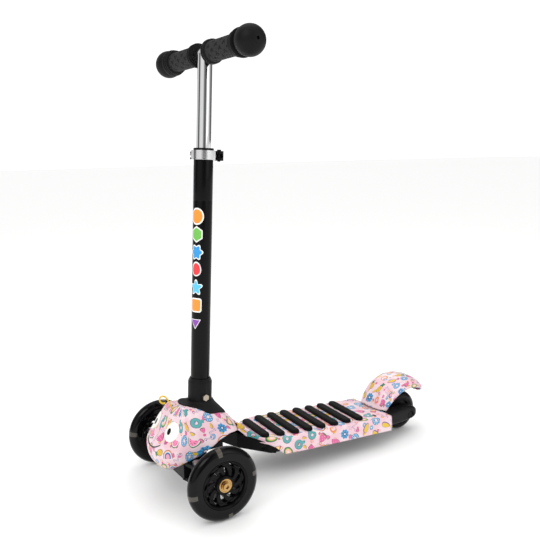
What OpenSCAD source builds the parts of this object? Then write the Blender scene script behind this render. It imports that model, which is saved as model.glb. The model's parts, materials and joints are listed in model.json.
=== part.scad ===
// Lean-to-steer kick scooter for a child: two large front wheels, one small rear wheel.
// Millimetres. +Z is up, -Y is forward, +X is the rider's left.
// The origin lies on the ground, halfway along the scooter's length.

/* [Stance] */
// Y of the front axle line
front_axle_y = -228; // [-232:1:-224]
// Y of the rear axle
rear_axle_y = 243; // [241:1:245]
// Distance from the middle plane to the middle of each front wheel
half_track = 127; // [126:0.5:130]

/* [Front wheels] */
// Diameter of a front wheel
front_wheel_d = 120; // [116:1:122]
// Width of a front wheel
front_wheel_w = 22; // [20:1:24]
// Radius of the plastic wheel core
front_core_r = 39; // [36:0.5:41]
// Number of curved spokes in a core
spoke_count = 10; // [8:1:12]
// Number of light modules in a front tyre
light_count = 4; // [3:1:6]

/* [Rear wheel] */
// Diameter of the rear wheel
rear_wheel_d = 80; // [78:1:82]
// Width of the rear wheel
rear_wheel_w = 24; // [22:1:26]
// Radius of the rear wheel core
rear_core_r = 27; // [25:0.5:29]

/* [Deck] */
// Half the width of the standing deck
deck_half_w = 64; // [60:1:66]
// Height of the deck top, carried forward to the front axle line
deck_z = 82.5; // [82:0.5:84]
// Fall of the deck for each millimetre of length
deck_fall = 0.056; // [0.05:0.001:0.06]
// Depth of the deck's side skirt
skirt_h = 29; // [27:1:30]
// Number of rubber grip strips
strip_count = 8; // [5:1:9]
// Distance from one grip strip to the next
strip_pitch = 29; // [26:0.5:30]

/* [Steering] */
// Height of the pivot that the handlebar stem leans on
pivot_z = 98; // [97:0.5:99]
// Distance of that pivot behind the front axle line
pivot_y = 22; // [21:0.5:23]
// Rearward rake of the stem, in degrees
rake = 3.5; // [2:0.1:5]
// Distance of each kingpin from the middle plane
kingpin_x = 74; // [74:0.5:75]
// Distance of the kingpins ahead of the axle line
kingpin_lead = 18; // [16:1:20]
// Height of the tie rod
tie_rod_z = 52; // [51:0.5:53]

/* [Handlebar] */
// Radius of the lower stem tube
lower_tube_r = 16; // [15.5:0.1:16]
// Radius of the upper stem tube
upper_tube_r = 12; // [11:0.1:12.4]
// Height of the clamp collar's foot above the pivot, along the stem
collar_s = 461; // [440:1:480]
// Height of the crossbar above the pivot, along the stem
bar_s = 630; // [610:1:650]
// Turn of the clamp around the stem, in degrees
clamp_turn = -31; // [-60:1:60]
// Radius of the ball at each grip's end
ball_r = 23.6; // [22:0.1:25]
// X of that ball's centre
ball_x = 145.5; // [140:0.5:150]

/* [Hidden] */
$fn = 64;
tiny = 0.01;
fit = 0.05;                       // radial clearance of pins, tubes and bearings
gap = 0.3;                        // clearance between moving neighbours
wheel_r = front_wheel_d / 2;
rear_r = rear_wheel_d / 2;
axle_r = 4;
bearing_r = 11;
bearing_w = 7;
kingpin_r = 4;
tube_wall = 1.5;
skin = 3;                         // wall of the moulded shells
deck_end = 175;                   // Y where the printed deck stops
strip_h = 6;
strip_half_w = 8;
first_strip = 133.5;               // from the axle line

// ---------------------------------------------------------------- frames and small helpers

module from_front() translate([0, front_axle_y, 0]) children();
module from_rear() translate([0, rear_axle_y, 0]) children();
module at_pivot() translate([0, front_axle_y + pivot_y, pivot_z]) children();
module on_stem(s = 0) at_pivot() rotate([-rake, 0, 0]) translate([0, 0, s]) children();
module on_clamp() on_stem(collar_s + 8.5) rotate(clamp_turn) children();
module both_sides() for (side = [0, 1]) mirror([side, 0, 0]) children();

// A cylinder along X or Y, from one coordinate to another
module rod_x(r, x0, x1) translate([x0, 0, 0]) rotate([0, 90, 0]) cylinder(r = r, h = x1 - x0);
module rod_y(r, y0, y1) translate([0, y0, 0]) rotate([-90, 0, 0]) cylinder(r = r, h = y1 - y0);
module ring(r, bore, h) difference() {
    cylinder(r = r, h = h);
    translate([0, 0, -1]) cylinder(r = bore, h = h + 2);
}
module hexagon(across, h) cylinder(r = across / sqrt(3), h = h, $fn = 6);
module slab(half_x, y0, y1, z0, z1)
    translate([-half_x, y0, z0]) cube([2 * half_x, y1 - y0, z1 - z0]);

// Solid through a row of closed rings that all have the same number of points.
// The rings run anticlockwise when they are seen from the last one.
module loft(rings) {
    n = len(rings[0]);
    last = len(rings) - 1;
    sides = [for (k = [0:last - 1]) for (i = [0:n - 1])
        let (a = k * n + i, b = k * n + (i + 1) % n) [a, a + n, b + n, b]];
    foot = [for (i = [0:n - 1]) i];
    head = [for (i = [n - 1:-1:0]) last * n + i];
    polyhedron(points = [for (one = rings) each one], faces = concat([foot], sides, [head]));
}

function power(v, e) = sign(v) * pow(abs(v), e);
function deck_top(y) = deck_z - deck_fall * (y - front_axle_y);

// ---------------------------------------------------------------- front shell

// Levels of the front shell: height, half width, front and rear, measured from the axle line
shell_levels = [
    [48, 32, -44, 96], [54, 42, -53, 98], [61, 51, -60, 100], [70, 59, -65, 101],
    [82, 64, -67, 101], [94, 65, -66, 98], [103, 63, -61, 90], [111, 59, -54, 81],
    [119, 55, -48, 74], [129, 49, -42, 64], [138, 43, -36, 56], [146, 37, -29, 47],
    [151, 30, -22, 38], [154, 18, -12, 26]
];
shell_mid_y = -18;

// Outline of one level: blunt at the front, drawn in to a neck at the rear
function shell_ring(level, inset) = [
    for (i = [0:47])
        let (
            a = i * 7.5,
            ahead = cos(a) > 0,
            reach = ahead ? shell_mid_y - level[2] - inset : level[3] - shell_mid_y + 2,
            x = (level[1] - inset) * power(sin(a), ahead ? 0.88 : 1.55),
            y = shell_mid_y - (inset > 0 && !ahead ? reach + 4 : reach) * power(cos(a), 0.94)
        )
        [x, y, level[0]]
];

module shell_solid(inset = 0) {
    loft([for (level = shell_levels) shell_ring([level[0] - inset, level[1], level[2], level[3]], inset)]);
}

// Side outline of the space under the shell's lower edge
module under_shell() {
    rotate([90, 0, 90]) linear_extrude(200, center = true)
        polygon([[-100, 20], [-100, 52], [-54, 52], [-44, 70], [-31, 77], [-2, 86], [33, 99],
                 [60, 100], [84, 92], [86, 200], [140, 200], [140, 20]]);
}

module front_shell() color([0.98, 0.78, 0.84]) from_front() difference() {
    shell_solid();
    shell_solid(skin);
    under_shell();
    stem_hole();
    translate([0, 0, 20]) slab(60, -45, 84, 0, 44);
}

// Opening in the top of the shell for the leaning stem
module stem_hole() translate([0, pivot_y + 3, 100]) {
    translate([-7, 0, 0]) cylinder(r = 24, h = 80);
    translate([7, 0, 0]) cylinder(r = 24, h = 80);
    slab(7, -24, 24, 0, 80);
}

// ---------------------------------------------------------------- deck

// Stations of the deck cover, from the axle line: y, half width, rise above the deck, skirt
deck_stations = [
    [86.3, 21, 28, 14], [93, 23.5, 23, 15], [101, 28, 16.5, 17], [110, 35, 9, 19],
    [119, 42.5, 2.2, 21], [125.2, 48, 0, 23], [131, 53, 0, 25], [142, 60, 0, skirt_h], [156, deck_half_w, 0, skirt_h],
    [deck_end - front_axle_y, deck_half_w - 1, 0, skirt_h]
];

// Cross-section of the deck cover: a flat top, rounded shoulders and a skirt that leans out
function deck_ring(station, inset) =
    let (
        y = station[0],
        w = station[1] - inset,
        top = deck_z - deck_fall * y + station[2] - inset,
        foot = deck_z - deck_fall * y + station[2] - station[3] - (inset > 0 ? 8 : 0),
        round_r = min(9 - inset, (top - foot) * 0.6),
        half = concat(
            [[w, foot]],
            [for (a = [0:15:90]) [w - 1.5 - round_r * (1 - cos(a)), top - round_r * (1 - sin(a))]]
        ),
        n = len(half)
    )
    concat(
        [for (p = half) [p[0], y, p[1]]],
        [for (i = [n - 1:-1:0]) [-half[i][0], y, half[i][1]]]
    );

module deck_solid(inset = 0, extra = 0) loft([
    for (i = [len(deck_stations) - 1:-1:0])
        let (s = deck_stations[i], end = i == 0 ? -extra : i == len(deck_stations) - 1 ? extra : 0)
        deck_ring([s[0] + end, s[1], s[2], s[3]], inset)
]);

module deck_cover() color([0.98, 0.8, 0.86]) from_front() difference() {
    deck_solid();
    deck_solid(skin, 5);
}

module grip_strips() color([0.06, 0.06, 0.06]) for (i = [0:strip_count - 1])
    grip_strip(front_axle_y + first_strip + i * strip_pitch, i == 0 ? 44 : i == 1 ? 51 : 54);

// One raised strip with round ends, lying on the deck
module grip_strip(y, reach) translate([0, y, deck_top(y)]) rotate([-atan(deck_fall), 0, 0]) {
    both_sides() translate([reach - strip_half_w, 0, 0]) cylinder(r = strip_half_w, h = strip_h);
    slab(reach - strip_half_w, -strip_half_w, strip_half_w, 0, strip_h);
}

// Chassis under the deck: a keel with a floor inside the skirt, and a neck up to the pivot
module underframe() color([0.05, 0.05, 0.05]) difference() {
    union() {
        from_front() {
            hull() {
                slab(16, 48.2, 49, 80, 90);
                slab(17, 86, 91, 58, 84);
            }
            hull() {
                slab(17, 86, 91, 58, 84);
                slab(57, 138, 142, 48, 64);
            }
            slab(23, 42, 49, 80, 112);
        }
        for (x = [-44, 0, 44]) keel_rib(x);
        deck_floor();
    }
    from_front() deck_gap();
    from_front() translate([0, 0, pivot_z]) rod_y(axle_r + fit, 30, 60);
    deck_screw_places() translate([0, 0, -30]) cylinder(r = 2 + fit, h = 60);
}

// Keeps the neck clear of the deck cover's own wall
module deck_gap() difference() {
    deck_solid(0.0, 0.1);
    deck_solid(skin + 0.2, 6);
}

module keel_rib(x) hull() {
    deck_block(x, front_axle_y + 142, -skirt_h + 4, -skin - 0.3);
    deck_block(x, deck_end - 6, -skirt_h + 4, -skin - 0.3);
}
module deck_block(x, y, low, high)
    translate([x - 3, y - 2, deck_top(y) + low]) cube([6, 4, high - low]);
module deck_floor() hull() {
    translate([0, front_axle_y + 139, deck_top(front_axle_y + 139) - skirt_h + 4])
        slab(56, 0, 4, 0, 4);
    translate([0, deck_end - 5, deck_top(deck_end - 5) - skirt_h + 4])
        slab(59, 0, 4, 0, 4);
}

// Six screws hold the underframe up against the deck cover
module deck_screw_places() for (x = [-44, 44]) for (y = [-60, 40, 140])
    translate([x, y, deck_top(y) - skirt_h + 4]) children();
module deck_screws() color([0.55, 0.55, 0.57]) deck_screw_places() {
    translate([0, 0, -2.6]) cylinder(r = 3.6, h = 2.2);
    translate([0, 0, -0.5]) cylinder(r = 2, h = 18);
}

// ---------------------------------------------------------------- rear fork

fork_slot = rear_wheel_w / 2 + 2.5;
fork_half_w = 41;
module rear_fork() color([0.07, 0.07, 0.07]) from_rear() difference() {
    union() {
        hull() {
            translate([0, -67.8, 0]) slab(60, 0, 4, 31, 57);
            both_sides() translate([fork_half_w - 10, -40, 32]) cylinder(r = 10, h = 24);
        }
        both_sides() hull() {
            translate([fork_half_w - 12, -42, 32]) cylinder(r = 12, h = 24);
            translate([0, 0, 44]) rod_x(14, fork_slot + tiny, fork_half_w - 3);
            translate([0, 8, 44]) rod_x(10, fork_slot + tiny, fork_half_w - 1);
        }
    }
    slab(fork_slot, -44, 40, 0, 100);
    translate([0, 0, rear_r]) rod_x(axle_r + fit, -60, 60);
    both_sides() translate([0, 0, rear_r]) rod_x(8.5, 33, 60);
    hinge_place() rod_x(2.5 + fit, -47, 47);
    slab(39.5, -72, -43.9, hinge_z - 8, 100);
}

// ---------------------------------------------------------------- brake

brake_c = [-7, 43];               // centre of the fender's arc, Y and Z from the rear axle's foot
fender_tail = 33;                 // angles of the arc's two ends, up from the rear
fender_foot = 163;
hinge_z = 50;
module hinge_place() translate([0, -58, hinge_z]) children();

// One rib of the fender: across from side to side, out to the crown and back inside
function fender_ring(a) =
    let (
        along = (a - fender_tail) / (fender_foot - fender_tail),
        crown = 75.5 - 3 * pow(1 - along, 4),
        edge = 47.5 + 17 * pow(1 - along, 3) + 6 * pow(along, 6),
        half_w = 17 + 21 * pow(1 - pow(1 - along, 4), 0.5) - 4 * pow(along, 6),
        outer = [for (u = [-90:15:90]) fender_point(a, half_w, edge, crown, u)],
        inner = [for (u = [90:-15:-90]) fender_point(a, half_w - skin, edge, crown - skin, u)]
    )
    concat(outer, inner);
function fender_point(a, half_w, edge, crown, u) =
    let (r = edge + (crown - edge) * power(cos(u), 0.75))
    [half_w * power(sin(u), 0.8), brake_c[0] + r * cos(a), brake_c[1] + r * sin(a)];

module brake_fender() color([0.98, 0.8, 0.86]) from_rear()
    loft([for (i = [13:-1:0]) fender_ring(fender_tail + i * (fender_foot - fender_tail) / 13)]);

// Hinge barrel with a web that is bonded in between the fender's sides
module brake_hinge() color([0.1, 0.1, 0.1]) from_rear() hinge_place() difference() {
    union() {
        rod_x(5, -30.9, 30.9);
        for (x = [[-30.9, 4.9], [-12, 42.9]]) translate([x[0], -4, 0]) cube([x[1], 5, 14]);
    }
    rod_x(2.5 + fit, -60, 60);
}

// Shoe that rubs on the tyre when the fender is pressed, on a web under the crown
module brake_shoe() color([0.1, 0.1, 0.1]) from_rear() difference() {
    union() {
        slab(9, -20, 12, 70, 92);
        slab(3, -18, 8, 90, 112);
    }
    translate([0, 0, rear_r]) rod_x(rear_r + 4.5, -20, 20);
}

module brake_pin() color([0.6, 0.6, 0.62]) from_rear() hinge_place() rod_x(2.5, -46, 46);
module brake_spring() color([0.5, 0.5, 0.52]) from_rear() hinge_place() {
    for (x = [-24:2.2:-14]) rotate([0, 90, 0]) translate([0, 0, x])
        rotate_extrude() translate([6.25, 0]) circle(r = 1.12);
}

// ---------------------------------------------------------------- front truck

clevis_low = 50;
clevis_high = 70;
module front_beam() color([0.06, 0.06, 0.06]) from_front() difference() {
    union() {
        slab(56, -34, 2, 46, 74);
        both_sides() for (z = [[clevis_low - gap - 5.5, 5.5], [clevis_high + gap, 5.5]])
            translate([0, 0, z[0]]) linear_extrude(z[1]) {
                translate([kingpin_x, -kingpin_lead]) circle(r = 10);
                polygon([[50, -34], [kingpin_x, -kingpin_lead - 10],
                         [kingpin_x, -kingpin_lead + 10], [50, 2]]);
            }
        slab(23, -4, 3.5, 70, 112);
        both_sides() {
            translate([27, -10, 76]) cube([8, 59, 12]);
            translate([27, -2, 61]) cube([8, 20, 16]);
        }
        slab(35, -14, 2, 72, 80);
        slab(35, 42, 48, 76, 79.8);
    }
    kingpin_places() translate([0, 0, -60]) cylinder(r = kingpin_r + fit, h = 120);
    translate([0, 0, pivot_z]) rod_y(axle_r + fit, -20, 60);
    beam_screw_places() translate([0, 0, -30]) cylinder(r = 2.5 + fit, h = 60);
}

module kingpin_places() both_sides() translate([kingpin_x, -kingpin_lead, 60]) children();
module kingpins() color([0.62, 0.62, 0.64]) from_front() kingpin_places() {
    translate([0, 0, -21]) cylinder(r = kingpin_r, h = 37);
    translate([0, 0, 15.8]) hexagon(13, 5);
}
module kingpin_nuts() color([0.62, 0.62, 0.64]) from_front() kingpin_places()
    translate([0, 0, -22.5]) difference() {
        hexagon(13, 6.5);
        translate([0, 0, -1]) cylinder(r = kingpin_r + fit, h = 9);
    }

// Two screws hold the beam's rear plate up against the underframe's neck
module beam_screw_places() for (x = [-12, 12]) translate([x, 45.5, 76]) children();
module beam_screws() color([0.55, 0.55, 0.57]) from_front() beam_screw_places() {
    translate([0, 0, -3]) cylinder(r = 4.2, h = 3);
    cylinder(r = 2.5, h = 3.7);
}

module pivot_bolt() color([0.62, 0.62, 0.64]) from_front() translate([0, 0, pivot_z]) {
    rod_y(axle_r, -4, 55);
    translate([0, -4, 0]) rotate([90, 0, 0]) hexagon(13, 5.3);
}
module pivot_nut() color([0.62, 0.62, 0.64]) from_front() translate([0, 49.1, pivot_z])
    rotate([-90, 0, 0]) difference() {
        hexagon(13, 5);
        translate([0, 0, -1]) cylinder(r = axle_r + fit, h = 9);
    }

yoke_front = 5;
yoke_rear = 40;
yoke_r = 13;
module pivot_bushes() color([0.85, 0.85, 0.8]) from_front() translate([0, 0, pivot_z])
    for (end = [[yoke_front, 1], [yoke_rear, -1]]) translate([0, end[0], 0])
        rotate([-90 * end[1], 0, 0]) difference() {
            union() {
                cylinder(r = 6, h = 12);
                translate([0, 0, -1.2]) cylinder(r = 10, h = 1.1);
            }
            translate([0, 0, -3]) cylinder(r = axle_r + fit, h = 20);
        }

// Two centring springs push on the stem's lever from the beam's side plates
module centring_springs() color([0.5, 0.5, 0.52]) from_front() both_sides()
    for (x = [9.5:2.2:25.6]) translate([x, 11.3, 68]) rotate([0, 90, 0])
        rotate_extrude() translate([4.2, 0]) circle(r = 1.12);

module tie_rod() color([0.5, 0.5, 0.52]) from_front() translate([0, pivot_y, tie_rod_z]) difference() {
    union() {
        slab(kingpin_x - 8, -4, 4, -3, 3);
        both_sides() translate([kingpin_x, 0, -3]) cylinder(r = 8.5, h = 6);
        translate([-11, -5, -9]) cube([22, 10, 20]);
    }
    both_sides() translate([kingpin_x, 0, -5]) {
        cylinder(r = 3.2, h = 10);
        translate([0, -1.8, 0]) cylinder(r = 3.2, h = 10);
    }
    for (z = [-0.8, 1.8]) translate([0, 0, z]) rod_y(4.2, -8, 8);
    translate([-4.2, -8, -0.8]) cube([8.4, 16, 2.6]);
}

// Wheel carrier: barrel on the kingpin, stub for the axle bolt, arm back to the tie rod
module left_knuckle() color([0.07, 0.07, 0.07]) from_front() knuckle();
module right_knuckle() color([0.07, 0.07, 0.07]) from_front() mirror([1, 0, 0]) knuckle();
module knuckle() difference() {
    union() {
        translate([kingpin_x, -kingpin_lead, clevis_low])
            cylinder(r = 10, h = clevis_high - clevis_low);
        translate([0, 0, 52]) linear_extrude(16)
            polygon([[kingpin_x, -kingpin_lead - 10], [103, -12], [103, 12], [92, 12],
                     [kingpin_x, -kingpin_lead + 10]]);
        translate([0, 0, wheel_r]) rod_x(8.5, 96, half_track - front_wheel_w / 2 - 0.5);
        translate([0, 0, tie_rod_z + 3.3]) linear_extrude(8)
            polygon([[kingpin_x - 7, -12], [kingpin_x + 12, -12], [kingpin_x + 7, pivot_y],
                     [kingpin_x - 7, pivot_y]]);
        translate([kingpin_x, pivot_y, tie_rod_z + 3.3]) cylinder(r = 7, h = 8);
        translate([kingpin_x, pivot_y, tie_rod_z - 5]) cylinder(r = 3, h = 10);
    }
    translate([kingpin_x, -kingpin_lead, 0]) cylinder(r = kingpin_r + fit, h = 120);
    translate([0, 0, wheel_r]) rod_x(axle_r + fit, 95, 130);
}

// ---------------------------------------------------------------- front wheels

wheel_out = half_track + front_wheel_w / 2;
module left_wheel_frame() from_front() translate([half_track, 0, wheel_r]) rotate([0, 90, 0]) children();
module right_wheel_frame() mirror([1, 0, 0]) left_wheel_frame() children();

module tyre_profile(r, core, w) {
    round_r = w / 2;
    translate([core, -w / 2]) square([r - round_r - core, w]);
    intersection() {
        translate([r - round_r, 0]) circle(r = round_r);
        translate([core, -w]) square([r, 2 * w]);
    }
}
module light_places() for (i = [0:light_count - 1]) rotate(i * 360 / light_count + 8) children();
module light_block() translate([48, -3.8, -20]) cube([10, 7.6, 40]);
module front_tyre() difference() {
    rotate_extrude() tyre_profile(wheel_r, front_core_r, front_wheel_w);
    light_places() light_block();
}
module front_lights() intersection() {
    rotate_extrude() tyre_profile(wheel_r - 0.2, front_core_r, front_wheel_w - 0.4);
    light_places() translate([48.05, -3.75, -20]) cube([9.9, 7.5, 40]);
}
module left_tyre() color([0.04, 0.04, 0.04]) left_wheel_frame() front_tyre();
module right_tyre() color([0.04, 0.04, 0.04]) right_wheel_frame() front_tyre();
module left_lights() color([0.75, 0.7, 0.6]) left_wheel_frame() front_lights();
module right_lights() color([0.75, 0.7, 0.6]) right_wheel_frame() front_lights();

// Core: rim, curved spokes, a ridge ring and a boss with two bearing seats
module front_core() difference() {
    union() {
        translate([0, 0, -9.5]) ring(front_core_r - fit, front_core_r - 3, 19);
        translate([0, 0, -front_wheel_w / 2]) cylinder(r = 14.5, h = front_wheel_w);
        translate([0, 0, -6]) linear_extrude(12) for (i = [0:spoke_count - 1])
            rotate(i * 360 / spoke_count) curved_spoke();
    }
    translate([0, 0, -20]) cylinder(r = 6.6, h = 40);
    for (z = [-20, 11 - bearing_w - 0.5]) translate([0, 0, z])
        cylinder(r = bearing_r + fit, h = 20 - 11 + bearing_w + 0.5);
}
module curved_spoke() intersection() {
    difference() {
        translate([8, 20]) circle(r = 24);
        translate([8, 20]) circle(r = 21);
    }
    difference() {
        circle(r = front_core_r - 2);
        circle(r = 13);
    }
    translate([0, -14]) square([60, 40]);
}
module left_core() color([0.05, 0.05, 0.05]) left_wheel_frame() front_core();
module right_core() color([0.05, 0.05, 0.05]) right_wheel_frame() front_core();

// A ball bearing drawn as its two rings and the shield between them
module bearing() difference() {
    cylinder(r = bearing_r, h = bearing_w);
    translate([0, 0, -1]) cylinder(r = axle_r + fit, h = bearing_w + 2);
    for (z = [-0.5, bearing_w - 0.5]) translate([0, 0, z]) ring(9.2, 6.2, 1);
}
module bearing_pair(half_w) for (z = [-half_w + 0.5, half_w - 0.5 - bearing_w])
    translate([0, 0, z]) bearing();
module left_bearings() color([0.75, 0.6, 0.3]) left_wheel_frame() bearing_pair(wheel_half());
module right_bearings() color([0.75, 0.6, 0.3]) right_wheel_frame() bearing_pair(wheel_half());
function wheel_half() = front_wheel_w / 2;
module front_spacer() translate([0, 0, -3.3]) ring(6.2, axle_r + fit, 6.6);
module left_spacer() color([0.4, 0.4, 0.42]) left_wheel_frame() front_spacer();
module right_spacer() color([0.4, 0.4, 0.42]) right_wheel_frame() front_spacer();

module axle_bolt() {
    rod_x(axle_r, 97, wheel_out - 0.2);
    translate([wheel_out - 0.3, 0, 0]) difference() {
        union() {
            rod_x(7.6, 0, 1.2);
            rod_x(6.2, 1.2, 5);
        }
        translate([2.4, 0, 0]) rotate([0, 90, 0]) hexagon(6, 4);
    }
}
module left_axle_bolt() color([0.8, 0.62, 0.3]) from_front() translate([0, 0, wheel_r]) axle_bolt();
module right_axle_bolt() color([0.8, 0.62, 0.3]) from_front() translate([0, 0, wheel_r])
    mirror([1, 0, 0]) axle_bolt();

// ---------------------------------------------------------------- rear wheel

module rear_frame() from_rear() translate([0, 0, rear_r]) rotate([0, 90, 0]) children();
module rear_tyre() color([0.05, 0.05, 0.05]) rear_frame() rotate_extrude()
    tyre_profile(rear_r, rear_core_r, rear_wheel_w);
module rear_core() color([0.06, 0.06, 0.06]) rear_frame() difference() {
    union() {
        translate([0, 0, -10]) ring(rear_core_r - fit, rear_core_r - 3.5, 20);
        translate([0, 0, -rear_wheel_w / 2]) cylinder(r = 14, h = rear_wheel_w);
        translate([0, 0, -4]) cylinder(r = rear_core_r - 2, h = 8);
    }
    translate([0, 0, -20]) cylinder(r = 6.6, h = 40);
    for (z = [-20, 12 - bearing_w - 0.5]) translate([0, 0, z])
        cylinder(r = bearing_r + fit, h = 20 - 12 + bearing_w + 0.5);
}
module rear_bearings() color([0.7, 0.7, 0.72]) rear_frame() bearing_pair(rear_wheel_w / 2);
module rear_spacer() color([0.4, 0.4, 0.42]) rear_frame() translate([0, 0, -4.3])
    ring(6.2, axle_r + fit, 8.6);
module rear_axle_bolt() color([0.62, 0.62, 0.64]) from_rear() translate([0, 0, rear_r]) {
    rod_x(axle_r, -33.2, 38.5);
    translate([-38.2, 0, 0]) rotate([0, 90, 0]) hexagon(13, 5.1);
}
module rear_axle_nut() color([0.62, 0.62, 0.64]) from_rear() translate([33.1, 0, rear_r])
    rotate([0, 90, 0]) difference() {
        hexagon(13, 5);
        translate([0, 0, -1]) cylinder(r = axle_r + fit, h = 9);
    }

// ---------------------------------------------------------------- trim

// Rubber boot between the shell and the leaning stem
module rubber_boot() color([0.08, 0.08, 0.08]) from_front() difference() {
    translate([0, pivot_y + 1, 0]) hull() {
        translate([0, 0, 146]) scale([32, 36, 1] / 36) cylinder(r = 36, h = 3, $fn = 48);
        translate([0, 2, 153]) scale([28, 31, 1] / 31) cylinder(r = 31, h = 3, $fn = 48);
        translate([0, 44, 122]) scale([14, 5, 1] / 14) cylinder(r = 14, h = 3, $fn = 32);
    }
    translate([0, pivot_y + 4, 60]) cylinder(r = 21, h = 120);
    translate([0, 0, gap]) shell_solid();
}

eye_at = [31.9, -41.8, 121.6];
module eyes(r, lift, h) both_sides() from_front()
    translate(eye_at) rotate([59, 0, 20]) translate([0, 0, lift]) cylinder(r = r, h = h);
module eye_discs() color([0.97, 0.97, 0.95]) difference() {
    eyes(14, -1.5, 3.5);
    from_front() translate([0, -gap, 0]) shell_solid();
}
module eye_pupils() color([0.04, 0.04, 0.04]) eyes(4.6, 2, 1);

// Small decorative loop on a stalk at the shell's brow
loop_at = [0, -41, 167];
loop_r = 6.5;
module top_loop() color([0.98, 0.78, 0.15]) from_front() translate(loop_at) {
    rotate([0, 90, 0]) rotate_extrude() translate([loop_r, 0]) circle(r = 1.5);
    rotate([-153, 0, 0]) translate([0, -loop_r, 0]) cylinder(r = 1.5, h = 21.5);
}

// ---------------------------------------------------------------- stem

socket_r = 20.4;
socket_low = 57;
module stem_socket() color([0.06, 0.06, 0.06]) difference() {
    union() {
        on_stem(socket_low - 4) cylinder(r = socket_r - 1.6, h = 10);
        on_stem(socket_low) cylinder(r = socket_r, h = 33);
        on_stem(socket_low + 33) cylinder(r = socket_r - 1.2, h = 3);
        on_stem(socket_low + 36) cylinder(r = socket_r - 2.6, h = 2.5);
        on_stem(8) cylinder(r = 15, h = socket_low - 8);
        from_front() translate([0, 0, pivot_z]) rod_y(yoke_r, yoke_front, yoke_rear);
        from_front() slab(8, 8, 14.6, tie_rod_z - 9, pivot_z);
    }
    on_stem(socket_low + 4) cylinder(r = lower_tube_r + fit, h = 60);
    from_front() translate([0, 0, pivot_z]) {
        rod_y(axle_r + 1, -10, 60);
        rod_y(6 + fit, yoke_front - 1, yoke_front + 12.2);
        rod_y(6 + fit, yoke_rear - 12.2, yoke_rear + 1);
    }
    from_front() translate([0, 0, tie_rod_z]) rod_y(4 + fit, 0, 30);
    on_stem(socket_low + 9) rod_x(3 + fit, -40, 40);
}
module link_pin() color([0.62, 0.62, 0.64]) from_front() translate([0, 0, tie_rod_z]) {
    rod_y(4, 8, 28);
    translate([0, 5, 0]) rod_y(6.5, 0, 2.9);
}
module socket_bolt() color([0.72, 0.68, 0.6]) on_stem(socket_low + 9) {
    rod_x(3, -24.5, socket_r + 0.1);
    translate([socket_r + 0.05, 0, 0]) rotate([0, 90, 0]) hexagon(10, 4.5);
}
module socket_nut() color([0.72, 0.68, 0.6]) on_stem(socket_low + 9)
    translate([-socket_r - 5, 0, 0]) rotate([0, 90, 0]) difference() {
        hexagon(10, 5);
        translate([0, 0, -1]) cylinder(r = 3 + fit, h = 9);
    }

module lower_stem_tube() color([0.04, 0.04, 0.04]) difference() {
    on_stem(socket_low + 4.2) ring(lower_tube_r, lower_tube_r - tube_wall, collar_s + 16 - socket_low - 4.2);
    on_stem(collar_s - 16) rotate(clamp_turn) translate([-30, -1, 0]) cube([30, 2, 60]);
    on_stem(socket_low + 9) rod_x(3 + fit, -40, 40);
}
module guide_bush() color([0.05, 0.05, 0.05]) {
    on_stem(collar_s - 24) ring(lower_tube_r - tube_wall - fit, upper_tube_r + fit, 40.2);
    on_stem(collar_s + 16.1) ring(lower_tube_r + 0.6, upper_tube_r + fit, 3.5);
}

// Collar with its split and lugs on the local -X side, and the bolt along local Y
module clamp_collar() color([0.82, 0.82, 0.84]) on_clamp() difference() {
    union() {
        translate([0, 0, -7.5]) cylinder(r = 20, h = 15);
        translate([-30, -15.5, -6]) cube([14, 31, 12]);
    }
    translate([0, 0, -20]) cylinder(r = lower_tube_r + fit, h = 40);
    translate([-60, -1.2, -20]) cube([60, 2.4, 40]);
    translate([-24.5, 0, 0]) rod_y(3 + fit, -30, 30);
}
module clamp_bolt() color([0.7, 0.7, 0.72]) on_clamp() translate([-24.5, 0, 0]) rod_y(3, -20, 19);
module acorn_nut() color([0.8, 0.8, 0.82]) on_clamp() translate([-24.5, -15.6, 0])
    rotate([90, 0, 0]) difference() {
        union() {
            hexagon(11, 5);
            translate([0, 0, 5]) intersection() {
                sphere(r = 4.9);
                cylinder(r = 6, h = 6);
            }
        }
        translate([0, 0, -1]) cylinder(r = 3 + fit, h = 6.4);
    }
lever_at = [-24.5, 23.5];
module clamp_lever() color([0.06, 0.06, 0.06]) on_clamp() translate([lever_at[0], lever_at[1], 0]) difference() {
    union() {
        translate([0, 0, -8]) cylinder(r = 7.6, h = 16);
        translate([0, 0, -6.5]) linear_extrude(13) {
            hull() {
                translate([-3, 1]) circle(r = 5.6);
                translate([-15, -8]) circle(r = 3.4);
            }
            hull() {
                translate([-15, -8]) circle(r = 3.4);
                translate([-16.5, -38]) circle(r = 3);
            }
            hull() {
                translate([-16.5, -38]) circle(r = 3);
                translate([-20, -47]) circle(r = 3.4);
            }
        }
    }
    translate([0, 0, -20]) cylinder(r = 2.5 + fit, h = 40);
    linear_extrude(7.2, center = true) intersection() {
        circle(r = 9);
        polygon([[-3.6, 0], [-3.6, -14], [14, -14], [14, 14], [6, 14]]);
    }
}
module lever_pin() color([0.1, 0.1, 0.1]) on_clamp() translate([lever_at[0], lever_at[1], -9.5]) {
    cylinder(r = 2.5, h = 19);
    translate([0, 0, 17.8]) cylinder(r = 3.4, h = 2);
}

module upper_stem_tube() color([0.86, 0.86, 0.88]) difference() {
    on_stem(bar_s - 305) ring(upper_tube_r, upper_tube_r - 1.4, 305);
    on_stem(bar_s) rod_x(upper_tube_r - 1 + fit, -40, 40);
}
module crossbar() color([0.86, 0.86, 0.88]) on_stem(bar_s) difference() {
    rod_x(upper_tube_r - 1, -130, 130);
    rod_x(upper_tube_r - 2.6, -140, 140);
}
module tube_plug() color([0.1, 0.1, 0.1]) on_stem(bar_s - 309) {
    cylinder(r = upper_tube_r + 1.6, h = 3.9);
    translate([0, 0, 3.9]) cylinder(r = upper_tube_r - 1.45, h = 14);
}

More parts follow.
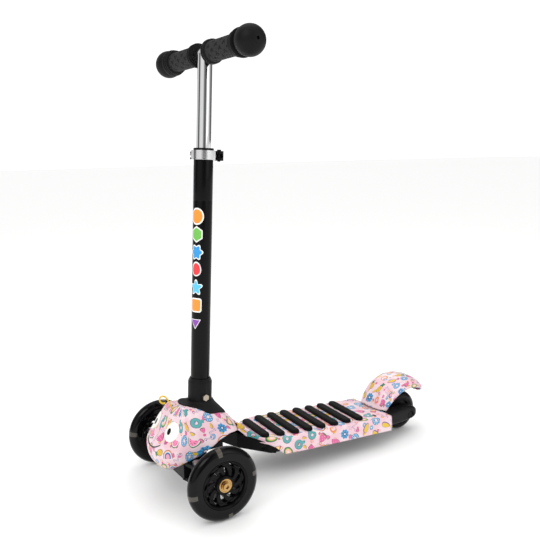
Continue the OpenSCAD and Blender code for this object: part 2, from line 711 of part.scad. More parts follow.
// Grip turned about the crossbar: inner flange, ribbed hand part, outer ridges and a ball
module grip_profile() {
    bore = upper_tube_r - 1 + fit;
    difference() {
        union() {
            translate([bore, 22]) square([19.5 - bore, 3.4]);
            translate([bore, 25.4]) square([17 - bore, 2]);
            translate([bore, 27.4]) square([19.2 - bore, 3]);
            translate([bore, 30.4]) square([16.4 - bore, 92]);
            for (x = [112, 117, 122]) translate([bore, x]) square([20 + (x - 112) * 0.2 - bore, 3.6]);
            intersection() {
                translate([0, ball_x]) circle(r = ball_r);
                translate([0, 122]) square([ball_r, 60]);
            }
        }
        translate([0, 0]) square([bore, 131]);
        translate([0, 0]) square([2.4, 200]);
    }
}
module grip() rotate([0, 90, 0]) rotate_extrude() grip_profile();
module left_grip() color([0.1, 0.1, 0.1]) on_stem(bar_s) grip();
module right_grip() color([0.1, 0.1, 0.1]) on_stem(bar_s) mirror([1, 0, 0]) grip();

// ---------------------------------------------------------------- the parts, one node each

front_shell();
deck_cover();
underframe();
rear_fork();
grip_strips();
deck_screws();
front_beam();
beam_screws();
kingpins();
kingpin_nuts();
pivot_bolt();
pivot_nut();
pivot_bushes();
centring_springs();
rubber_boot();
eye_discs();
eye_pupils();
top_loop();
stem_socket();
socket_bolt();
socket_nut();
link_pin();
lower_stem_tube();
guide_bush();
clamp_collar();
clamp_bolt();
acorn_nut();
clamp_lever();
lever_pin();
upper_stem_tube();
crossbar();
tube_plug();
left_grip();
right_grip();
tie_rod();
left_knuckle();
left_axle_bolt();
right_knuckle();
right_axle_bolt();
left_tyre();
left_core();
left_bearings();
left_spacer();
left_lights();
right_tyre();
right_core();
right_bearings();
right_spacer();
right_lights();
rear_tyre();
rear_core();
rear_bearings();
rear_spacer();
rear_axle_bolt();
rear_axle_nut();
brake_fender();
brake_hinge();
brake_shoe();
brake_pin();
brake_spring();
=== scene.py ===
"""Child's lean-to-steer kick scooter: the visual model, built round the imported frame."""
import json
import math

import bpy
from mathutils import Matrix, Vector
from mathutils.bvhtree import BVHTree


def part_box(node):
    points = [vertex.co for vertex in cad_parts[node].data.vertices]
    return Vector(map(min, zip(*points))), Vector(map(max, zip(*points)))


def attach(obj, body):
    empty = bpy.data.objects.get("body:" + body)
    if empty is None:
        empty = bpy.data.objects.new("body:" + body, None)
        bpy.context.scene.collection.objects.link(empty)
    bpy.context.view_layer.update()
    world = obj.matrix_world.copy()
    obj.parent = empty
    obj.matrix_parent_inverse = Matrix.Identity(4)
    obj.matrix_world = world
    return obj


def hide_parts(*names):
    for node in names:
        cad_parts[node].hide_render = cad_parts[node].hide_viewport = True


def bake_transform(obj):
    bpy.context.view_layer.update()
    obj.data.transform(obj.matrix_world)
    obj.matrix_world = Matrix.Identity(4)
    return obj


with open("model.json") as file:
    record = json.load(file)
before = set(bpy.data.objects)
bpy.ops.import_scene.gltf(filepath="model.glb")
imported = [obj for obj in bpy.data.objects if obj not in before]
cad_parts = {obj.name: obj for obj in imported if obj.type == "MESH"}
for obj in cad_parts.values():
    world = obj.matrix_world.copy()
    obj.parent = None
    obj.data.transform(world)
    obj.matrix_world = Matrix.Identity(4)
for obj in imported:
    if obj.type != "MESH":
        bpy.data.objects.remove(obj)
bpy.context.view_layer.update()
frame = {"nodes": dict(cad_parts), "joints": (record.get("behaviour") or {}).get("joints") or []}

MM = 0.001
joints = {j["name"]: j for j in frame["joints"]}

# ------------------------ places taken from the frame


def box_mm(name):
    low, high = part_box(name)
    return low / MM, high / MM


def middle(name):
    low, high = box_mm(name)
    return (low + high) / 2


wheel_mid = middle("left_tyre")
HALF_TRACK, AXLE_Y, WHEEL_R = wheel_mid.x, wheel_mid.y, wheel_mid.z
WHEEL_W = box_mm("left_tyre")[1].x - box_mm("left_tyre")[0].x
CORE_R = box_mm("left_core")[1].z - WHEEL_R
REAR_Y, REAR_R = middle("rear_tyre").y, middle("rear_tyre").z
REAR_W = box_mm("rear_tyre")[1].x * 2
PIVOT = Vector(joints["stem_lean"]["pos_m"]) / MM
STEM = Vector(joints["handlebar_height"]["axis"]).normalized()
STEM_X = Vector((1, 0, 0))
STEM_BACK = STEM.cross(STEM_X)
TUBE_R = 16                              # outer radius of the lower stem tube
DECK_END = box_mm("deck_cover")[1].y
DECK_Z, DECK_FALL = 82.5, 0.056          # height of the deck top at the axle line, and its fall
WALL = 2.8                               # wall of the moulded covers
SIDES = ((1, "left"), (-1, "right"))


def up_stem(z):
    """Distance along the stem at which it reaches a height."""
    return (z - PIVOT.z) / STEM.z


def stem_frame(s):
    """Matrix of the stem's own frame at distance s: Z up the stem, X across, -Y forward."""
    m = Matrix((STEM_X, STEM_BACK, STEM)).transposed().to_4x4()
    m.translation = PIVOT + STEM * s
    return m


def deck_top(y):
    return DECK_Z - DECK_FALL * (y - AXLE_Y)


# ------------------------ shader nodes and arithmetic


def feed(tree, made, feeds):
    """Gives a node its inputs: numbers, colours, or links from the sockets that drive them."""
    for key, value in feeds.items():
        value = value.socket if isinstance(value, Val) else value
        socket = made.inputs[key]
        if isinstance(value, bpy.types.NodeSocket):
            tree.links.new(value, socket)
        else:
            socket.default_value = (*value, 1) if socket.type == "RGBA" else value


def node(tree, kind, feeds=None, **settings):
    """A new shader node with its settings and its inputs."""
    made = tree.nodes.new("ShaderNode" + kind)
    for key, value in settings.items():
        setattr(made, key, value)
    feed(tree, made, feeds or {})
    return made


class Val:
    """A number that a shader works out at each point, with Python's own operators."""

    def __init__(self, tree, socket):
        self.tree, self.socket = tree, socket

    def op(self, kind, *others):
        made = node(self.tree, "Math", dict(enumerate((self, *others))), operation=kind)
        return Val(self.tree, made.outputs[0])

    def __add__(self, o): return self.op("ADD", o)
    def __sub__(self, o): return self.op("SUBTRACT", o)
    def __mul__(self, o): return self.op("MULTIPLY", o)
    def __truediv__(self, o): return self.op("DIVIDE", o)
    def __abs__(self): return self.op("ABSOLUTE")
    def sin(self): return self.op("SINE")
    def floor(self): return self.op("FLOOR")
    def fract(self): return self.op("FRACT")
    def above(self, o): return self.op("GREATER_THAN", o)
    def below(self, o): return self.op("LESS_THAN", o)
    def least(self, o): return self.op("MINIMUM", o)
    def most(self, o): return self.op("MAXIMUM", o)
    def root(self): return self.op("SQRT")
    def angle(self, o): return self.op("ARCTAN2", o)


def length2(x, y):
    return (x * x + y * y).root()


def painted(tree, under, colour, where):
    """Colour laid over another where a mask is 1."""
    feeds = {"Factor": where, "A": under, "B": colour}
    return node(tree, "Mix", feeds, data_type="RGBA").outputs["Result"]


def own_coords(tree):
    return node(tree, "TexCoord").outputs["Object"]


def noise(tree, at, scale, detail=2):
    made = node(tree, "TexNoise", {"Vector": at, "Scale": scale, "Detail": detail})
    return Val(tree, made.outputs["Fac"])


def relief(tree, height, strength, depth, **more):
    """Normal that a height pattern of so many millimetres gives."""
    feeds = {"Strength": strength, "Distance": depth * MM, "Height": height, **more}
    return node(tree, "Bump", feeds).outputs[0]


# ------------------------ camera, floor and light

AZIMUTH, ELEVATION, ROLL = math.radians(58.9), math.radians(9.455), math.radians(-1.37)
CAMERA_AT = Vector((1.0414, -0.6840, 0.5657))
FOCAL_MM, SENSOR_MM = 46.4, 36.0
# What polished metal mirrors, once round the studio: share of the turn and brightness
STUDIO_SIDES = [
    (0.0, 0.5), (0.10, 1.0), (0.16, 0.1), (0.2, 0.08), (0.24, 0.95), (0.36, 1.0), (0.42, 0.2),
    (0.48, 0.12), (0.54, 0.85), (0.64, 1.0), (0.7, 0.3), (0.8, 0.08), (0.9, 0.7),
]
FLOOR_HALF = 40.0


def placed(name, data):
    """A new object in the scene."""
    obj = bpy.data.objects.new(name, data)
    bpy.context.scene.collection.objects.link(obj)
    return obj


def make_camera():
    forward = Vector((-math.sin(AZIMUTH) * math.cos(ELEVATION),
                      math.cos(AZIMUTH) * math.cos(ELEVATION), -math.sin(ELEVATION)))
    right = forward.cross(Vector((0, 0, 1))).normalized()
    up = right.cross(forward)
    turned_right = right * math.cos(ROLL) + up * math.sin(ROLL)
    turned_up = up * math.cos(ROLL) - right * math.sin(ROLL)
    turn = Matrix((turned_right, turned_up, -forward)).transposed().to_4x4()
    turn.translation = CAMERA_AT
    data = bpy.data.cameras.new("camera")
    data.lens, data.sensor_width = FOCAL_MM, SENSOR_MM
    data.clip_start, data.clip_end = 0.05, 50
    bpy.context.scene.camera = placed("camera", data)
    bpy.context.scene.camera.matrix_world = turn


def area_light(name, at, target, size, power):
    data = bpy.data.lights.new(name, "AREA")
    data.shape, data.size, data.size_y, data.energy = "RECTANGLE", *size, power
    lamp = placed(name, data)
    lamp.location, lamp.rotation_mode = at, "QUATERNION"
    lamp.rotation_quaternion = (Vector(target) - Vector(at)).to_track_quat("-Z", "Y")


def make_world():
    """Pale studio: even white to the camera, with darker sides for what the metal mirrors."""
    world = bpy.data.worlds.new("studio")
    bpy.context.scene.world = world
    world.use_nodes = True
    tree = world.node_tree
    tree.nodes.clear()
    way = node(tree, "SeparateXYZ", {0: node(tree, "TexCoord").outputs["Generated"]})
    turn = Val(tree, way.outputs["Y"]).angle(Val(tree, way.outputs["X"]))
    ramp = node(tree, "ValToRGB", {0: turn.op("MULTIPLY_ADD", 0.5 / math.pi, 0.5)})
    stops = ramp.color_ramp.elements
    for i, (place, grey) in enumerate(STUDIO_SIDES):
        stop = stops[i] if i < 2 else stops.new(place)
        stop.position, stop.color = place, (grey, grey, grey, 1)
    mirrored = node(tree, "Background", {"Color": ramp.outputs[0], "Strength": 0.8})
    seen = node(tree, "Background", {"Color": (1, 1, 1), "Strength": 1.12})
    glossy = node(tree, "LightPath").outputs["Is Glossy Ray"]
    both = node(tree, "MixShader", {0: glossy, 1: seen.outputs[0], 2: mirrored.outputs[0]})
    node(tree, "OutputWorld", {"Surface": both.outputs[0]})


def make_floor():
    mesh = bpy.data.meshes.new("floor")
    corners = [(-1, -1), (1, -1), (1, 1), (-1, 1)]
    mesh.from_pydata([(x * FLOOR_HALF, y * FLOOR_HALF, 0) for x, y in corners], [], [(0, 1, 2, 3)])
    mat, tree, bsdf = new_material("floor")
    feed(tree, bsdf, {"Base Color": (0.93, 0.93, 0.925), "Roughness": 0.7})
    mesh.materials.append(mat)
    placed("floor", mesh)


# ------------------------ materials


def new_material(name):
    mat = bpy.data.materials.new(name)
    mat.use_nodes = True
    return mat, mat.node_tree, mat.node_tree.nodes["Principled BSDF"]


def surface(name, colour, rough, metal=0.0, coat=0.0, grain=900.0, bump=0.0, vary=0.25,
            shade=0.25, edge=0.0, marks=None):
    """A moulded, painted or metal finish: grain in its relief, its gloss and its colour."""
    mat, tree, bsdf = new_material(name)
    at = own_coords(tree)
    fine, broad = noise(tree, at, grain, 3), noise(tree, at, 28, 5)
    dark = tuple(c * (1 - shade) for c in colour)
    tint = painted(tree, dark, colour, (broad * 1.6 - 0.3).most(0).least(1))
    if marks:
        tint = marks(tree, tint)
    feed(tree, bsdf, {
        "Base Color": tint, "Metallic": metal, "Coat Weight": coat, "Coat Roughness": 0.06,
        "Specular IOR Level": 0.11 if max(colour) < 0.06 else 0.5,
        "Roughness": (fine * 0.5 + broad * 0.5 - 0.5) * (2 * vary * rough) + rough,
    })
    normal = {}
    if edge:
        normal = {"Normal": node(tree, "Bevel", {"Radius": edge * MM}).outputs[0]}
    if bump:
        normal = {"Normal": relief(tree, fine, 0.6, bump, **normal)}
    feed(tree, bsdf, normal)
    return mat


def streaks(tree, tint):
    """Fine drawing lines round a polished metal part."""
    at = node(tree, "Mapping", {0: own_coords(tree), "Scale": (60, 60, 2600)}).outputs[0]
    return painted(tree, tint, (0.55, 0.55, 0.56), (noise(tree, at, 1.0) - 0.5).most(0) * 0.8)


PINK, HOT_PINK, CREAM = (0.72, 0.30, 0.42), (0.66, 0.09, 0.28), (0.74, 0.60, 0.60)
YELLOW, ORANGE, GREEN = (0.70, 0.46, 0.01), (0.70, 0.22, 0.05), (0.02, 0.16, 0.04)
LIME, TEAL, SKY = (0.30, 0.46, 0.05), (0.07, 0.33, 0.34), (0.05, 0.30, 0.56)
NAVY, VIOLET, INK = (0.01, 0.03, 0.14), (0.17, 0.07, 0.28), (0.01, 0.01, 0.03)
WHITE, HUSK, MELON, SALMON = (0.76, 0.73, 0.73), (0.55, 0.30, 0.02), (0.88, 0.20, 0.40), (0.90, 0.42, 0.35)
WOOD, APRICOT = (0.75, 0.55, 0.3), (0.93, 0.62, 0.25)


def bands(measure, *steps):
    """Nested shapes, from the outside in: where a measure is below each reach."""
    return [(measure.below(reach), colour) for reach, colour in steps]


def motifs(x, y):
    """Fruit and seaside doodles in a cell that runs from -1 to 1: lists of (mask, colour)."""
    r = length2(x, y)
    turn = y.angle(x)
    body = length2(x * 1.45, y - 0.2)
    crown = abs(x) + (y * 9.0).sin() * 0.08
    leaf = crown.below(0.30) * y.below(-0.3) * y.above(-0.85)
    hatch = ((x + y) * 14.0).sin().above(0.72).most(((x - y) * 14.0).sin().above(0.72))
    pineapple = [(leaf, GREEN), *bands(body, (0.60, INK), (0.55, YELLOW)), (body.below(0.55) * hatch, HUSK)]
    low = y.below(0.12)
    seeds = (turn * 9.0).sin().above(0.75) * abs(r - 0.36).below(0.09)
    melon = [(low * r.below(0.80), GREEN), (low * r.below(0.68), WHITE),
             (low * r.below(0.60), MELON), (low * seeds, INK)]
    arch = y.above(-0.25)
    rainbow = [(arch * mask, colour) for mask, colour in bands(
        r, (0.84, INK), (0.80, ORANGE), (0.68, WHITE), (0.58, SKY), (0.48, NAVY), (0.36, PINK))]
    sprinkle = ((x * 17.0).sin() * (y * 15.0).sin()).above(0.55)
    doughnut = [*bands(r, (0.66, INK), (0.62, SKY)), (r.below(0.62) * sprinkle, WHITE),
                *bands(r, (0.25, INK), (0.21, CREAM))]
    papaya = bands(length2(x * 1.35, y),
                   (0.78, INK), (0.74, GREEN), (0.60, LIME), (0.46, SALMON), (0.2, CREAM))
    rind = length2(x * (y * 0.7 + 1.9), y)
    flesh = length2(x * (y * 0.9 + 2.2) + 0.12, y)
    lemon = [(rind.below(0.74), VIOLET), (flesh.below(0.66), YELLOW)]
    heart = length2(x * (y * -0.55 + 1.25), y + abs(x) * -0.35)
    dots = ((x * 12.0).sin() * (y * 12.0).sin()).above(0.6)
    berry = [*bands(heart, (0.62, INK), (0.575, HOT_PINK)), (heart.below(0.52) * dots, PINK),
             (abs(x).below(0.3) * abs(y - 0.62).below(0.1), GREEN)]
    swirl = (turn + r * 11.0).sin().above(0.15)
    spiral = [(r.below(0.6) * swirl, ORANGE), (length2(x - 0.1, y + 0.72).below(0.12), TEAL)]
    eighths = (turn * 8.0).sin()
    flower = [((r - (eighths * 0.06 + 0.62)).below(0.0), SKY), (eighths.above(0.8) * r.below(0.56), NAVY),
              *bands(r, (0.24, NAVY), (0.13, WHITE))]
    tube = abs(length2(x + 0.12, y + 0.1) - 0.42)
    float_ring = [*bands(tube, (0.22, INK), (0.18, TEAL)),
                  (length2(x - 0.42, y - 0.5).below(0.24), TEAL),
                  (length2(x - 0.52, y - 0.55).below(0.05), INK)]
    wave = abs(y - (x * 7.0).sin() * 0.25)
    squiggle = [(wave.below(0.13) * abs(x).below(0.8), VIOLET),
                (wave.below(0.07) * abs(x).below(0.76), CREAM),
                (length2(x + 0.3, y - 0.6).below(0.16), HOT_PINK)]
    stick = abs(x).below(0.07) * y.below(-0.2) * y.above(-0.8)
    block = abs(x).most(abs(y - 0.2) * 0.62)
    lolly = [(stick, WOOD), *bands(block, (0.36, INK), (0.315, HOT_PINK)),
             (block.below(0.315) * y.above(0.25), APRICOT)]
    return [pineapple, melon, rainbow, doughnut, papaya, lemon, berry, spiral, flower, float_ring,
            squiggle, lolly]


def doodle_layer(tree, base, cell, offset, reach, kinds, seed):
    """One scattering of doodles: each cell of the sheet picks one, turned and shifted by chance."""
    sheet = node(tree, "SeparateXYZ", {0: node(tree, "UVMap", uv_map="sheet").outputs[0]})
    u, v = (Val(tree, sheet.outputs[k]) * (1000.0 / cell) + offset[k] for k in range(2))
    row = v.floor()
    shifted = u + (row * 0.5).fract()
    at = node(tree, "CombineXYZ", {0: shifted.floor(), 1: row, 2: seed}).outputs[0]
    chance = node(tree, "TexWhiteNoise", {"Vector": at}, noise_dimensions="3D").outputs["Color"]
    parts = node(tree, "SeparateColor", {0: chance})
    c1, c2, c3 = (Val(tree, parts.outputs[k]) for k in range(3))
    x0 = (shifted.fract() - 0.5) * 2.0 + (c1 - 0.5) * 0.3
    y0 = (v.fract() - 0.5) * 2.0 + (c2 - 0.5) * 0.3
    tilt = (c3 - 0.5) * 2.4
    cos, sin = (tilt + math.pi / 2).sin(), tilt.sin()
    x = (x0 * cos - y0 * sin) / reach
    y = (x0 * sin + y0 * cos) / reach
    pick = ((c1 * 7.31 + c2 * 3.17).fract() * float(len(kinds))).floor()
    drawn = motifs(x, y)
    colour = base
    for k, kind in enumerate(kinds):
        here = abs(pick - float(k)).below(0.5)
        for mask, paint in drawn[kind]:
            colour = painted(tree, colour, paint, mask * here)
    return colour


def printed_plastic():
    """Glossy moulded plastic under a printed film of doodles on very pale pink."""
    mat, tree, bsdf = new_material("printed_film")
    at = own_coords(tree)
    cloud, peel = noise(tree, at, 38), noise(tree, at, 420)
    base = painted(tree, (0.74, 0.49, 0.55), (0.76, 0.60, 0.64), ((cloud - 0.42) * 6.0).most(0).least(1))
    small = doodle_layer(tree, base, 17.0, (0.37, 0.21), 0.80, [7, 10, 6, 3, 5, 11], 4.0)
    full = doodle_layer(tree, small, 25.0, (0.0, 0.0), 1.12, list(range(12)), 1.0)
    feed(tree, bsdf, {
        "Base Color": full, "Coat Weight": 0.35, "Coat Roughness": 0.12,
        "Roughness": peel * 0.10 + cloud * 0.10 + 0.22, "Normal": relief(tree, peel, 0.25, 0.05),
    })
    return mat


def all_materials():
    made = {
        "film": printed_plastic(),
        "plastic": surface("black_plastic", (0.006, 0.006, 0.0065), 0.40, bump=0.05, grain=1400, edge=0.7),
        "satin": surface("satin_black", (0.009, 0.009, 0.0095), 0.36, bump=0.04, grain=1200),
        "strip": surface("strip_rubber", (0.005, 0.005, 0.005), 0.62, bump=0.12, grain=1500),
        "boot": surface("boot_rubber", (0.012, 0.012, 0.012), 0.58, bump=0.06),
        "grip": surface("grip_rubber", (0.030, 0.030, 0.031), 0.72, bump=0.10, grain=1500),
        # near-black rubber of the flanges, ridges and ball; grips() also lays it in the leaf grooves of the
        # hand's part as painted shade
        "ball": surface("ball_rubber_and_groove_shade", (0.008, 0.008, 0.008), 0.46, bump=0.05, grain=1300),
        "paint": surface("black_paint", (0.002, 0.002, 0.002), 0.26, coat=0.08, bump=0.01, grain=600),
        "chrome": surface("chrome", (0.90, 0.90, 0.91), 0.05, metal=1.0, shade=0.06, vary=0.5),
        "alloy": surface("brushed_aluminium", (0.88, 0.88, 0.89), 0.16, metal=1.0, shade=0.08, edge=0.5,
                         marks=streaks),
        "steel": surface("zinc_steel", (0.62, 0.62, 0.64), 0.30, metal=1.0, edge=0.4, vary=0.4),
        "nickel": surface("dull_zinc", (0.50, 0.43, 0.35), 0.34, metal=1.0, edge=0.4, vary=0.5),
        "brass": surface("brass", (0.62, 0.38, 0.15), 0.26, metal=1.0, edge=0.4, vary=0.5, shade=0.35),
        "tyre": surface("cast_urethane", (0.002, 0.002, 0.0025), 0.12, coat=0.16, shade=0.4, vary=0.5),
        "core": surface("core_plastic", (0.003, 0.003, 0.0035), 0.24, coat=0.05, bump=0.02, edge=0.5),
        "window": surface("clear_module", (0.060, 0.050, 0.038), 0.18, coat=0.2, shade=0.5, grain=300),
        "eye": surface("eye_white", (0.86, 0.85, 0.80), 0.24, coat=0.2, shade=0.04),
        "pupil": surface("pupil_black", (0.008, 0.008, 0.008), 0.18, coat=0.4),
        "yellow": surface("yellow_cord", (0.80, 0.50, 0.01), 0.42, shade=0.15, bump=0.04),
        "white": surface("white_ink", (0.92, 0.92, 0.90), 0.30, shade=0.04),
        "bush": surface("nylon", (0.80, 0.79, 0.74), 0.45, shade=0.08, edge=0.3),
    }
    inks = {"orange": (0.93, 0.30, 0.03), "green": (0.16, 0.52, 0.08), "blue": (0.03, 0.32, 0.72),
            "red": (0.80, 0.04, 0.05), "sky": (0.10, 0.55, 0.85), "violet": (0.26, 0.06, 0.42)}
    for name, colour in inks.items():
        made["ink_" + name] = surface("ink_" + name, colour, 0.30, shade=0.06)
    return made


# ------------------------ mesh helpers, in millimetres


def make(name, verts, faces, material, body=None, uvs=None, slot=None, sharp=None, matrix=None):
    """A mesh piece from points in millimetres, shaded smooth but for edges over the sharp angle."""
    mesh = bpy.data.meshes.new(name)
    if matrix:
        verts = [matrix @ Vector(v) for v in verts]
    mesh.from_pydata([tuple(c * MM for c in v) for v in verts], [], faces)
    mesh.validate()
    mean = sum((v.co for v in mesh.vertices), Vector()) / len(mesh.vertices)
    if sum((p.center - mean).dot(p.normal) * p.area for p in mesh.polygons) < 0:
        mesh.flip_normals()
    if uvs:
        layer = mesh.uv_layers.new(name="sheet")
        for loop in mesh.loops:
            layer.data[loop.index].uv = uvs[loop.vertex_index]
    mesh.shade_smooth()
    if sharp:
        mesh.set_sharp_from_angle(angle=math.radians(sharp))
    mesh.materials.append(M[material])
    obj = placed(name, mesh)
    if body:
        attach(obj, body)
    return obj


def grid(rows, columns, closed):
    """Faces between rows of points, with each row closed on itself or open."""
    faces = []
    for i in range(rows - 1):
        for j in range(columns if closed else columns - 1):
            k = (j + 1) % columns
            faces.append((i * columns + j, i * columns + k, (i + 1) * columns + k, (i + 1) * columns + j))
    return faces


def loft(name, rings, material, capped=True, **more):
    """A closed sleeve through rings of points, with or without its two end faces."""
    n = len(rings[0])
    faces = grid(len(rings), n, True)
    if capped:
        faces.append(tuple(reversed(range(n))))
        faces.append(tuple(range((len(rings) - 1) * n, len(rings) * n)))
    return make(name, [p for ring in rings for p in ring], faces, material, **more)


def filleted(points, radius, steps=4):
    """A profile with its inner corners rounded; a point's third number is its own radius."""
    out = [Vector(points[0][:2])]
    for i in range(1, len(points) - 1):
        a, p, b = (Vector(points[j][:2]) for j in (i - 1, i, i + 1))
        r = points[i][2] if len(points[i]) > 2 else radius
        d1, d2 = (a - p).normalized(), (b - p).normalized()
        bend = math.acos(max(-1, min(1, d1.dot(d2))))
        if r == 0 or bend > 3.1 or bend < 0.02:
            out.append(p)
            continue
        cut = min(r / math.tan(bend / 2), (a - p).length * 0.49, (b - p).length * 0.49)
        s, e = p + d1 * cut, p + d2 * cut
        for k in range(steps + 1):
            t = k / steps
            out.append(s * (1 - t) ** 2 + p * (2 * t * (1 - t)) + e * t ** 2)
    out.append(Vector(points[-1][:2]))
    return out


def lathe(name, profile, material, matrix, segments=96, arc=None, shape=None, **more):
    """A profile of (radius, height) turned about the local Z axis, whole or over an arc.
    The shape function adds to the radius at (angle, height, radius)."""
    whole = arc is None
    start, end = (0.0, 2 * math.pi) if whole else arc
    count = segments if whole else segments + 1
    rings = []
    for j in range(count):
        a = start + (end - start) * j / segments
        ring = []
        for r, h in profile:
            rr = r + (shape(a, h, r) if shape else 0.0)
            ring.append((rr * math.cos(a), rr * math.sin(a), h))
        rings.append(ring)
    n = len(profile)
    faces = []
    for j in range(segments):
        k = (j + 1) % count
        for i in range(n - 1):
            faces.append((j * n + i, k * n + i, k * n + i + 1, j * n + i + 1))
    if not whole:
        faces.append(tuple(range(n)))
        faces.append(tuple(reversed(range((count - 1) * n, count * n))))
    verts = [p for ring in rings for p in ring]
    return make(name, verts, faces, material, matrix=matrix, **more)


def bevelled(obj, width, angle=32):
    mod = obj.modifiers.new("bevel", "BEVEL")
    mod.width, mod.segments = width * MM, 3
    mod.limit_method, mod.angle_limit = "ANGLE", math.radians(angle)
    mod.harden_normals = mod.use_clamp_overlap = True
    return obj


def thickened(obj, wall):
    """Gives an open sheet a wall on its inner side, with a rim."""
    mod = obj.modifiers.new("wall", "SOLIDIFY")
    mod.thickness, mod.offset = wall * MM, -1
    return obj


def applied(obj):
    """Turns a piece's modifiers into its mesh, for good."""
    worked = obj.evaluated_get(bpy.context.evaluated_depsgraph_get())
    mesh = bpy.data.meshes.new_from_object(worked)
    obj.modifiers.clear()
    obj.data = mesh
    return mesh


def cut_away(obj, cutter):
    """Takes the cutter's solid out of a piece, for good."""
    mod = obj.modifiers.new("cut", "BOOLEAN")
    mod.operation, mod.solver, mod.object = "DIFFERENCE", "EXACT", cutter
    applied(obj)
    bpy.data.objects.remove(cutter)


def prism(name, outline, low, high, material, bevel=0.0, **more):
    n = len(outline)
    verts = [(x, y, low) for x, y in outline] + [(x, y, high) for x, y in outline]
    faces = [tuple(reversed(range(n))), tuple(range(n, 2 * n))]
    faces += [(i, (i + 1) % n, n + (i + 1) % n, n + i) for i in range(n)]
    obj = make(name, verts, faces, material, sharp=30, **more)
    return bevelled(obj, bevel) if bevel else obj


def sweep(name, points, radius, material, segments=14, taper=None, **more):
    """A round cord along a smooth line through a few points."""
    line = smooth_line(points, 10)
    rings = []
    side = Vector((1, 0, 0))
    for i, p in enumerate(line):
        ahead = (line[min(i + 1, len(line) - 1)] - line[max(i - 1, 0)]).normalized()
        side = (side - ahead * side.dot(ahead)).normalized()
        other = ahead.cross(side)
        r = radius * (taper(i / (len(line) - 1)) if taper else 1.0)
        rings.append([p + (side * math.cos(t) + other * math.sin(t)) * r for t in turns(segments)])
    return loft(name, rings, material, **more)


def smooth_line(points, steps):
    pts = [Vector(p) for p in points]
    out = []
    for i in range(len(pts) - 1):
        a, b = pts[max(i - 1, 0)], pts[i]
        c, d = pts[i + 1], pts[min(i + 2, len(pts) - 1)]
        for k in range(steps):
            t = k / steps
            out.append(0.5 * ((2 * b) + (c - a) * t + (2 * a - 5 * b + 4 * c - d) * t * t
                              + (3 * b - a - 3 * c + d) * t ** 3))
    out.append(pts[-1])
    return out


def at_station(table, t):
    """Row of a table at t, the first column, smoothly between its rows."""
    t = max(table[0][0], min(table[-1][0], t))
    i = max(k for k in range(len(table) - 1) if table[k][0] <= t)
    a, b = table[i], table[i + 1]
    h = b[0] - a[0]
    s = (t - a[0]) / h
    row = []
    for c in range(1, len(a)):
        before = table[i - 1] if i else a
        after = table[i + 2] if i + 2 < len(table) else b
        ma = (b[c] - before[c]) / (b[0] - before[0])
        mb = (after[c] - a[c]) / (after[0] - a[0])
        row.append((2 * s ** 3 - 3 * s * s + 1) * a[c] + (s ** 3 - 2 * s * s + s) * h * ma
                   + (3 * s * s - 2 * s ** 3) * b[c] + (s ** 3 - s * s) * h * mb)
    return row


def between(table, t):
    """Straight-line value of a two-column table."""
    t = max(table[0][0], min(table[-1][0], t))
    for a, b in zip(table, table[1:]):
        if t <= b[0]:
            return a[1] + (b[1] - a[1]) * (t - a[0]) / (b[0] - a[0])
    return table[-1][1]


def power(v, e):
    """A power that keeps the sign: below 1 it squares an oval's corners."""
    return math.copysign(abs(v) ** e, v)


def turns(count):
    """Angles of so many even steps round a circle."""
    return [2 * math.pi * k / count for k in range(count)]


# ------------------------ front shell and its face

# Levels of the shell: height, half width, front and rear, measured from the axle line
SHELL_LEVELS = [
    (48, 32, -44, 96), (54, 42, -53, 98), (61, 51, -60, 100), (70, 59, -65, 101), (82, 64, -67, 101),
    (94, 65, -66, 98), (103, 63, -61, 90), (111, 59, -54, 81), (119, 55, -48, 74), (129, 49, -42, 64),
    (138, 43, -36, 56), (146, 37, -29, 47), (151, 30, -22, 38), (154, 18, -12, 26),
]
SHELL_MID = -18
# Lower edge of the shell, seen from the side: distance behind the axle line and height
SHELL_HEM = [(-100, 52), (-54, 53), (-44, 68), (-31, 77), (-2, 86), (33, 98), (60, 99), (84, 93),
             (85.5, 130)]
FRONT_CORNER, REAR_CORNER, END_CORNER = 0.88, 1.55, 0.94     # powers of its rounded outline
SHELL_TOP = 154                                              # where the shell's crown ends
HOLE_REACH, HOLE_R, HOLE_Y = 7, 23, 25                       # opening for the stem


def shell_point(z, a):
    half_w, front, rear = at_station(SHELL_LEVELS, z)
    ahead = math.cos(a) > 0
    reach = SHELL_MID - front if ahead else rear - SHELL_MID + 2
    x = half_w * power(math.sin(a), FRONT_CORNER if ahead else REAR_CORNER)
    y = SHELL_MID - reach * power(math.cos(a), END_CORNER)
    return Vector((x, AXLE_Y + y, z))


def to_hole(p):
    """Distance of a point outside the stem's opening, and the way to it."""
    middle_x = max(-HOLE_REACH, min(HOLE_REACH, p.x))
    way = Vector((middle_x - p.x, AXLE_Y + HOLE_Y - p.y))
    return way.length - HOLE_R, way.normalized()


def shell_column(a, rows):
    """One line of points up the shell, from its hem to the stem's opening."""
    step, hem_top = 0.2, 130
    low = float(SHELL_LEVELS[0][0])
    while low < hem_top and low < between(SHELL_HEM, shell_point(low, a).y - AXLE_Y):
        low += step
    high = SHELL_TOP - 0.1
    while high > low + 1 and to_hole(shell_point(high, a))[0] < 0:
        high -= step
    column = []
    for i in range(rows - 3):
        share = i / (rows - 4)
        column.append(shell_point(low + (high - low) * (1 - (1 - share) ** 1.35), a))
    left, way = to_hole(column[-1])
    rim = column[-1]
    for share in (0.34, 0.67, 1.0):
        run = (max(left, 0) + 0.3) * share
        column.append(Vector((rim.x + way.x * run, rim.y + way.y * run, rim.z - 0.1 * share)))
    return column


